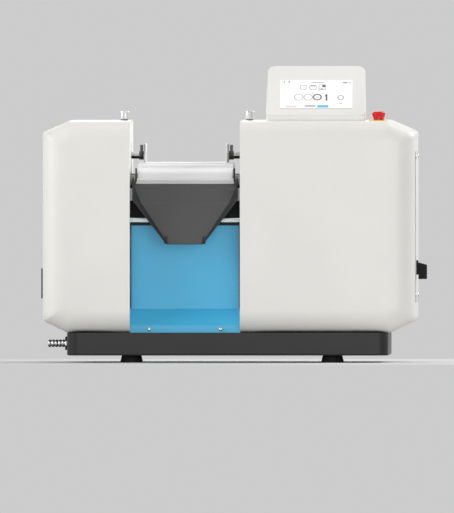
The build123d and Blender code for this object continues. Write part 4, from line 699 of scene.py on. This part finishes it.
# %% Button head and ring
head_low, head_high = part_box("estop_head")
button_at = [(middle("estop_head").x, middle("estop_head").y, cover_top)]
bottom, top = (head_low.z - cover_top) / mm, (head_high.z - cover_top) / mm
inner_radius, grip_count, grip_depth = 11.05, 6, 1.7
mushroom_outline = [
    (0, 17.3), (4.05, 17.3), (4.05, 11.3), (inner_radius, 11.3), (inner_radius, bottom), (11.9, bottom),
    (12.3, bottom + 0.5, 1), (12.8, bottom + 3.6, 1), (13.4, bottom + 5.8, 1), (13.8, bottom + 7.2, 0.9),
    (13.9, 15.2, 0.6), (13.6, 16.7, 0.3), (13.0, 18.0, 0.1), (11.9, 19.2), (10.0, 20.1), (6.5, top), (0, top),
]
head = turned(
    "stop_button_mushroom", mushroom_outline, button_at, facing_up, stop_red, 144, grip_count, grip_depth, sharp=50.0
)
keep(head, "stop_button", "estop_head")
ring_outline = [
    (0, -30), (13.5, -30), (13.5, 0), (20.2, 0), (20.5, 0.3), (20.5, 1.0), (19.9, 1.7), (19.0, 1.9), (12.0, 1.9),
    (inner_radius, 1.4), (inner_radius, -19), (0, -19),
]
ring = turned("stop_button_ring", ring_outline, button_at, facing_up, stop_yellow, 96)
keep(ring, "frame", "estop_ring")

# %% [markdown]
# ## Chute
# The chute is bent from one dark coated sheet. Its floor catches the light, while the walls lean away from it
# and stand in shade, which is painted into their finish as a near-black copy of the chute's paint. The solid
# already has the right shape. A copy of it is merged, because a solid from CAD arrives as loose triangles, and
# its faces are sorted into floor and walls. A small tab at each side of the outlet and an ear at each upper end
# are added as plain blocks, in the walls' painted shade.

# %% Sort the chute's faces
def copied(source):
    """A merged copy of a CAD part, as a bmesh."""
    shell = bmesh.new()
    shell.from_mesh(nodes[source].data)
    bmesh.ops.remove_doubles(shell, verts=shell.verts, dist=2 * micron)
    return shell


shell = copied("discharge_chute")
slope = radians(70.0)
off_the_floor = Vector((0, -sin(slope), cos(slope)))
up_the_floor = Vector((0, cos(slope), sin(slope)))
surely_floor, maybe_floor, floor_slack = 0.99, 0.97, 1.0 * mm
shell.faces.ensure_lookup_table()
facing_out = [face for face in shell.faces if face.normal.dot(off_the_floor) > surely_floor]
floor_plane = max(facing_out, key=lambda face: face.calc_area()).calc_center_median().dot(off_the_floor)
# Faces off the floor take the second finish, the walls' painted shade.
for face in shell.faces:
    off_plane = abs(face.calc_center_median().dot(off_the_floor) - floor_plane)
    on_floor = face.normal.dot(off_the_floor) > maybe_floor and off_plane < floor_slack
    face.material_index = 0 if on_floor else 1


# %% Add the tabs and the ears
def block(shell, corner, sides, index):
    """A box from one corner along three edges, with its own slot of finish."""
    corners = [corner + sides[0] * i + sides[1] * j + sides[2] * k for i in (0, 1) for j in (0, 1) for k in (0, 1)]
    points = [shell.verts.new(c) for c in corners]
    made = [
        shell.faces.new([points[i] for i in loop])
        for loop in ((0, 1, 3, 2), (4, 6, 7, 5), (0, 4, 5, 1), (2, 3, 7, 6), (0, 2, 6, 4), (1, 5, 7, 3))
    ]
    for face in made:
        face.material_index = index
    bmesh.ops.recalc_face_normals(shell, faces=made)


outlet_half, tab_from, tab_width, tab_length, tab_thickness = 36 * mm, 36.4 * mm, 7.0 * mm, 16.0 * mm, 1.2 * mm
ear_from, ear_front, ear_foot = 101.6 * mm, -160.0 * mm, 380.0 * mm
ear_width, ear_depth, ear_height = 3.2 * mm, 17.0 * mm, 28.0 * mm
outlet = min((v.co for v in shell.verts if abs(v.co.x - bay_middle) < outlet_half), key=lambda co: co.z)
floor_foot = outlet - off_the_floor * (outlet.dot(off_the_floor) - floor_plane)
for side in (-1, 1):
    across = Vector((side, 0, 0))
    foot = Vector((bay_middle + side * tab_from, floor_foot.y, floor_foot.z))
    tab = (across * tab_width, up_the_floor * tab_length, off_the_floor * tab_thickness)
    block(shell, foot, tab, 1)
    ear = (across * ear_width, Vector((0, ear_depth, 0)), Vector((0, 0, ear_height)))
    block(shell, Vector((bay_middle + side * ear_from, ear_front, ear_foot)), ear, 1)
chute = meshed(shell, "two_tone_chute", (chute_paint, chute_wall_painted_shade), 20.0)
keep(chute, "chute", "discharge_chute")

# %% [markdown]
# ## Feed dams
# Two upright plates close the ends of the trough between the rollers. Each is a white plastic seal that touches
# the rollers, on a steel holder that faces the wall. The plate is one solid, so its copy is cut through with
# bmesh, and the two sides get their own finish. The bright rod carries a dark boss, so its copy is sorted by how
# far a face lies from the rod's axis.

# %% Split the dam plates
def seal_face(side):
    """The side's way into the bay, and where its plate faces the paste."""
    low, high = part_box(side + "_dam_plate")
    return (1, high.x) if side == "left" else (-1, low.x)


seal_thickness, cut_slack = 2.3 * mm, micron
for side in ("left", "right"):
    inward, seal_x = seal_face(side)
    shell = copied(side + "_dam_plate")
    split = seal_x - inward * seal_thickness
    everything = shell.verts[:] + shell.edges[:] + shell.faces[:]
    bmesh.ops.bisect_plane(shell, geom=everything, plane_co=(split, 0, 0), plane_no=(1, 0, 0), dist=cut_slack)
    for face in shell.faces:
        face.material_index = 0 if (face.calc_center_median().x - split) * inward > 0 else 1
    plate = meshed(shell, side + "_seal_and_holder", (dam_plastic, holder_steel), 30.0)
    keep(plate, side + "_dam_leaf", side + "_dam_plate")

# %% Dam rods
rod_reach, behind_seal = 7.3 * mm, 0.2 * mm
for side in ("left", "right"):
    inward, seal_x = seal_face(side)
    shell = copied(side + "_dam_rod")
    for vert in shell.verts:
        if (vert.co.x - seal_x) * inward > -behind_seal:
            vert.co.x = seal_x - inward * behind_seal
    for face in shell.faces:
        place = face.calc_center_median()
        from_axis = sqrt((place.y - rod_y) ** 2 + (place.z - rod_z) ** 2)
        face.material_index = 1 if from_axis > rod_reach else 0
    rod = meshed(shell, side + "_rod_and_boss", (rod_steel, gunmetal), 30.0)
    keep(rod, side + "_dam", side + "_dam_rod")

# %% [markdown]
# ## Display
# A flat faceplate covers the front of the display, and its chin hangs below the hinge and hides it from the
# user. On it the display shows one page of generic signs: a status bar, three buttons, a row of dials and a few
# keys. Each sign is a flat piece, a fraction of a millimetre thick, laid on the glass. Real shape keeps its
# edges sharp from any distance. The glow of the screen is a little emission in the same finishes.

# %% Finishes of the page
def page_ink(name, colour, glow=0.1):
    return moulded(name, colour, 0.3, depth=10.0, drift=0.01, glow=glow)


page_white = page_ink("page_white", (0.82, 0.82, 0.815), 0.2)
page_pale = page_ink("page_pale", (0.66, 0.66, 0.65))
page_grey = page_ink("page_grey", (0.34, 0.34, 0.35))
page_mid = page_ink("page_mid", (0.46, 0.445, 0.45))
page_dark = page_ink("page_dark", (0.09, 0.09, 0.10), 0.05)
page_slate = page_ink("page_slate", (0.30, 0.36, 0.42))
page_blue = page_ink("page_blue", (0.10, 0.44, 0.70))
page_finishes = [page_white, page_pale, page_mid, page_grey, page_dark, page_slate, page_blue]

# %% Places on the display, in millimetres
lean = radians(45.0)
to_right, to_top, outward = Vector((1, 0, 0)), Vector((0, sin(lean), cos(lean))), Vector((0, -cos(lean), sin(lean)))
hinge = Vector((middle("display_housing").x, -100.0 * mm, 520.2 * mm))
plate_back, plate_front, page_rise = 11.9, 13.6, 47.0
page_middle = hinge + (to_top * page_rise + outward * plate_front) * mm
sheet_height, ink_low, ink_high = 0.15, 0.1, 0.3
quadrants = ((1, 1), (-1, 1), (-1, -1), (1, -1))


def arcs(centres, radius, count):
    """Points of a quarter circle round each of four centres, from the upper right one anticlockwise."""
    points = []
    for quarter, (x, y) in enumerate(centres):
        for i in range(count + 1):
            angle = (quarter + i / count) * pi / 2
            points.append((x + radius * cos(angle), y + radius * sin(angle)))
    return points


def ring_of(shell, origin, points, out):
    """A loop of corners on the display's slope, from an origin, as far out as told."""
    return [shell.verts.new(origin + (to_right * u + to_top * v + outward * out) * mm) for u, v in points]


def band(shell, first, second):
    """Four-sided faces between two closed loops of equal count."""
    pairs = list(zip(first, second))
    return [shell.faces.new((a, c, d, b)) for (a, b), (c, d) in zip(pairs, pairs[1:] + pairs[:1])]


def skinned(shell, loops, name, sharp):
    """Close a stack of loops into a body: a band between each two, and a face at both ends."""
    for lower, upper in zip(loops, loops[1:]):
        band(shell, lower, upper)
    shell.faces.new(loops[-1])
    shell.faces.new(loops[0][::-1])
    bmesh.ops.recalc_face_normals(shell, faces=shell.faces[:])
    return meshed(shell, name, [housing_plastic], sharp)


# %% Faceplate of the display
# The chin is short enough to clear the cover when the display stands upright.
chin, crown, bottom_half, top_half, corner, edge, edge_share = 17.0, 129.6, 105.2, 102.2, 16.0, 0.8, 0.3
shell = bmesh.new()
loops = []
for inset, out in (
    (0, plate_back), (0, plate_front - edge), (edge * edge_share, plate_front - edge * edge_share), (edge, plate_front)
):
    ends = {1: (top_half - inset - corner, crown - inset - corner),
            -1: (bottom_half - inset - corner, -chin + inset + corner)}
    centres = [(sx * ends[sy][0], ends[sy][1]) for sx, sy in quadrants]
    loops.append(ring_of(shell, hinge, arcs(centres, corner, 12), out))
faceplate = skinned(shell, loops, "display_faceplate", 35.0)
keep(faceplate, "display", "display_housing", replaces=False)

# %% Rest of the display
# A low bead on the cover stands just in front of the chin. Its back follows the circle that the chin swings on.
bead_half, bead_front, bead_top, bead_end, end_rounds_before = 104.0, -129.5, 10.4, 3.0, -126.0
swing, clearance_start, clearance_end, clearance_steps = 23.4, 187.0, 213.0, 6
section = [(bead_front, 0.0), (bead_front, 7.6), (bead_front + 0.7, 9.4), (bead_front + 2.2, bead_top)]
for i in range(clearance_steps + 1):
    angle = radians(clearance_start + (clearance_end - clearance_start) * i / clearance_steps)
    section.append((hinge.y / mm + swing * cos(angle), hinge.z / mm - cover_top / mm + swing * sin(angle)))
section.append((section[-1][0], 0.0))
shell = bmesh.new()
loops = []
for way, inset, drop in ((-1, 0, bead_end), (-1, bead_end, 0), (1, bead_end, 0), (1, 0, bead_end)):
    along = way * (bead_half - inset)
    points = [(along, y + (drop if y < end_rounds_before else 0), max(z - drop, 0)) for y, z in section]
    loops.append([shell.verts.new(Vector((hinge.x, 0, cover_top)) + Vector(point) * mm) for point in points])
rest = skinned(shell, loops, "display_rest", 40.0)
keep(rest, "frame", "display_bracket", replaces=False)

# %% Helpers that draw on the page
page = bmesh.new()


def rounded(across, up, width, height, radius, count=6):
    """A rounded rectangle round its middle, as points of the page."""
    centres = [(across + sx * (width / 2 - radius), up + sy * (height / 2 - radius)) for sx, sy in quadrants]
    return arcs(centres, radius, count)


def laid(outline, finish, low=ink_low, high=ink_high, hole=None):
    """Lay one flat sign on the page, with a hole of as many points if it is a frame."""
    below, above = (ring_of(page, page_middle, outline, out) for out in (low, high))
    made = band(page, below, above)
    if hole:
        hole_below, hole_above = (ring_of(page, page_middle, hole, out) for out in (low, high))
        for first, second in ((hole_above, hole_below), (above, hole_above), (hole_below, below)):
            made += band(page, first, second)
    else:
        made += [page.faces.new(above), page.faces.new(below[::-1])]
    for face in made:
        face.material_index = page_finishes.index(finish)


def bar(across, up, width, height, finish, radius=0.4):
    laid(rounded(across, up, width, height, radius, 3), finish)


def frame_of(across, up, width, height, line, finish, radius):
    inner = rounded(across, up, width - 2 * line, height - 2 * line, radius - line)
    laid(rounded(across, up, width, height, radius), finish, hole=inner)


def dial(across, up, radius, line, finish):
    frame_of(across, up, 2 * radius, 2 * radius, line, finish, radius - 0.001)


# %% Draw the page
laid(rounded(0, 0, 151.5, 82.7, 1.0), page_white, 0.0, sheet_height)
bar(-67.4, 35.5, 3.1, 4.4, page_slate, 1.2)
bar(-57.2, 35.2, 3.8, 5.0, page_slate, 1.5)
bar(1.5, 34.3, 26.0, 2.0, page_grey)
bar(60.1, 34.0, 10.4, 4.0, page_grey)
bar(70.0, 34.0, 3.0, 3.6, page_grey, 1.0)
frame_of(-26.9, 20.0, 15.2, 13.3, 1.3, page_grey, 3.0)
bar(-26.9, 20.0, 8.0, 1.6, page_pale)
frame_of(-7.0, 19.6, 15.1, 14.0, 1.3, page_grey, 3.0)
bar(-7.0, 24.6, 11.0, 3.0, page_grey, 1.0)
bar(-7.0, 18.6, 8.0, 1.2, page_pale)
frame_of(12.6, 20.3, 15.7, 15.4, 1.3, page_grey, 3.0)
bar(15.6, 23.8, 6.4, 6.4, page_dark, 1.0)
bar(11.2, 15.6, 9.0, 2.0, page_grey, 0.8)
for across in (-26.6, -6.8, 12.0):
    bar(across, 3.0, 6.0, 1.4, page_grey)
dial(-36.9, -8.9, 9.8, 1.5, page_grey)
dial(-16.9, -8.9, 9.6, 1.5, page_grey)
dial(2.3, -8.9, 9.6, 2.9, page_dark)
for across, finish in ((-36.9, page_pale), (-16.9, page_pale), (2.3, page_mid)):
    bar(across, -8.9, 5.0, 2.4, finish, 0.8)
    bar(across, -27.0, 8.0, 1.4, page_pale)
bar(21.7, -9.95, 3.2, 18.5, page_dark, 0.3)
laid([(20.2, -0.8), (17.9, -4.4), (17.9, -7.6), (20.2, -5.2)], page_dark)
dial(51.2, -10.3, 7.2, 2.3, page_grey)
bar(51.2, -27.8, 6.0, 2.0, page_grey)
bar(-52.2, -36.2, 23.0, 5.0, page_pale, 1.2)
bar(-12.5, -34.7, 23.0, 5.9, page_mid, 1.2)
bar(14.0, -35.9, 23.3, 7.0, page_blue, 1.2)
# The grey line just under the glass, on the faceplate, is a painted shadow under the screen's edge.
bar(0.0, -42.9, 151.0, 1.6, page_mid)
bmesh.ops.recalc_face_normals(page, faces=page.faces[:])
screen_page = meshed(page, "screen_page", page_finishes)
keep(screen_page, "display", "display_screen")

# %% [markdown]
# ## Slats
# A vent grille and a row of louvres are the same thing to make: equal slats, one pitch apart, all leaning the same
# way. A second tree builds them. It sets a cube of the slat's size at each point of a straight line, leans it, and
# puts the whole row at every place.

# %% The slat tree
slats, taken, out = new_tree(
    "slats",
    ("Count", "Int", 6),
    ("Pitch", "Vector", (0, 0, 0)),
    ("Slat", "Vector", (0.01, 0.01, 0.01)),
    ("Lean", "Vector", (0, 0, 0)),
    ("Finish", "Material", None),
)
slat = step(slats, "GeometryNodeMeshCube", {"Size": taken["Slat"]}).outputs["Mesh"]
row_of_points = step(
    slats, "GeometryNodeMeshLine", {"Count": taken["Count"], "Offset": taken["Pitch"]}, mode="OFFSET"
).outputs["Mesh"]
leaning = step(
    slats, "GeometryNodeInstanceOnPoints", {"Points": row_of_points, "Instance": slat, "Rotation": taken["Lean"]}
).outputs[0]
rows_placed = step(
    slats, "GeometryNodeInstanceOnPoints", {"Points": taken["Geometry"], "Instance": leaning}
).outputs[0]
delivered(slats, rows_placed, taken["Finish"], out)


def slatted(name, start, count, pitch, slat, lean, finish, part, replaces):
    """A row of slats in metres: the middle of the first slat, how many, the step between them, size and lean."""
    sizes = {"Count": count, "Pitch": pitch, "Slat": slat, "Lean": lean, "Finish": finish}
    keep(grown(points_object(name, [start]), slats, sizes, 30.0), "frame", part, replaces)


# %% Vent grille
vent_low, vent_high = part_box("vent_grille")
centre = (vent_low + vent_high) / 2
border, proud, back_thickness = 5.0 * mm, 6.0 * mm, 1.0 * mm
slat_count, slat_width, slat_thickness = 7, 5.6 * mm, 1.4 * mm
level, slat_lean = (0.0, 0.0, 0.0), (0.0, radians(-35.0), 0.0)
front_x = vent_low.x + proud / 2
rail, post = vent_high.y - vent_low.y, vent_high.z - vent_low.z
opening = post - 2 * border
slat_pitch = opening / slat_count
grille = (
    ("vent_rails", (front_x, centre.y, vent_low.z + border / 2), 2, (0, 0, post - border),
     (proud, rail, border), level),
    ("vent_posts", (front_x, vent_low.y + border / 2, centre.z), 2, (0, rail - border, 0),
     (proud, border, opening), level),
    ("vent_slats", (front_x, centre.y, vent_low.z + border + slat_pitch / 2), slat_count, (0, 0, slat_pitch),
     (slat_width, rail - 2 * border, slat_thickness), slat_lean),
    ("vent_back", (vent_high.x - back_thickness / 2, centre.y, centre.z), 1, (0, 0, 0),
     (back_thickness, rail - 4 * border, opening), level),
)
for row in grille:
    slatted(*row, vent_plastic, "vent_grille", True)

# %% Louvres of the rear panels
louvre_count, louvre_pitch, louvre_share, louvre_height_share = 8, 14.0 * mm, 0.5, 0.62
hood_thickness, hood_depth, hood_lean, hood_out, hood_up = 0.9 * mm, 4.4 * mm, radians(38.0), 1.0 * mm, 2.2 * mm
louvre_middle = left_low.z + louvre_height_share * (left_high.z - left_low.z)
first_z = louvre_middle - (louvre_count - 1) / 2 * louvre_pitch
for panel in ("left_rear_panel", "right_rear_panel"):
    low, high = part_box(panel)
    hood = ((high.x - low.x) * louvre_share, hood_depth, hood_thickness)
    start = ((low.x + high.x) / 2, high.y + hood_out, first_z + hood_up)
    pitch, leaned = (0, 0, louvre_pitch), (-hood_lean, 0, 0)
    slatted(panel + "_hoods", start, louvre_count, pitch, hood, leaned, cream_paint, panel, False)

# %% [markdown]
# ## Painted shade along the splash panel
# Dark strips along the top and the sides of the blue panel are painted shade: they stand for the shadow under
# the tray's lip and the shade in the gaps beside the covers.

# %% Strips of painted shade
strip_front, strip_back = -163.0 * mm, -160.1 * mm
top_strip, side_strip, slope_top = 6.0 * mm, 2.2 * mm, 114.0 * mm
side_top = panel_high.z - top_strip
# Black strips put where shade falls: painted shade under the lip and beside the covers.
shade_strips = bmesh.new()
for x, z, width, height in (
    (panel_low.x, side_top, panel_high.x - panel_low.x, top_strip),
    (panel_low.x, slope_top, side_strip, side_top - slope_top),
    (panel_high.x - side_strip, slope_top, side_strip, side_top - slope_top),
):
    sides = (Vector((width, 0, 0)), Vector((0, strip_back - strip_front, 0)), Vector((0, 0, height)))
    block(shade_strips, Vector((x, strip_front, z)), sides, 0)
keep(meshed(shade_strips, "panel_seals", [black_rubber]), "frame", "splash_panel", replaces=False)
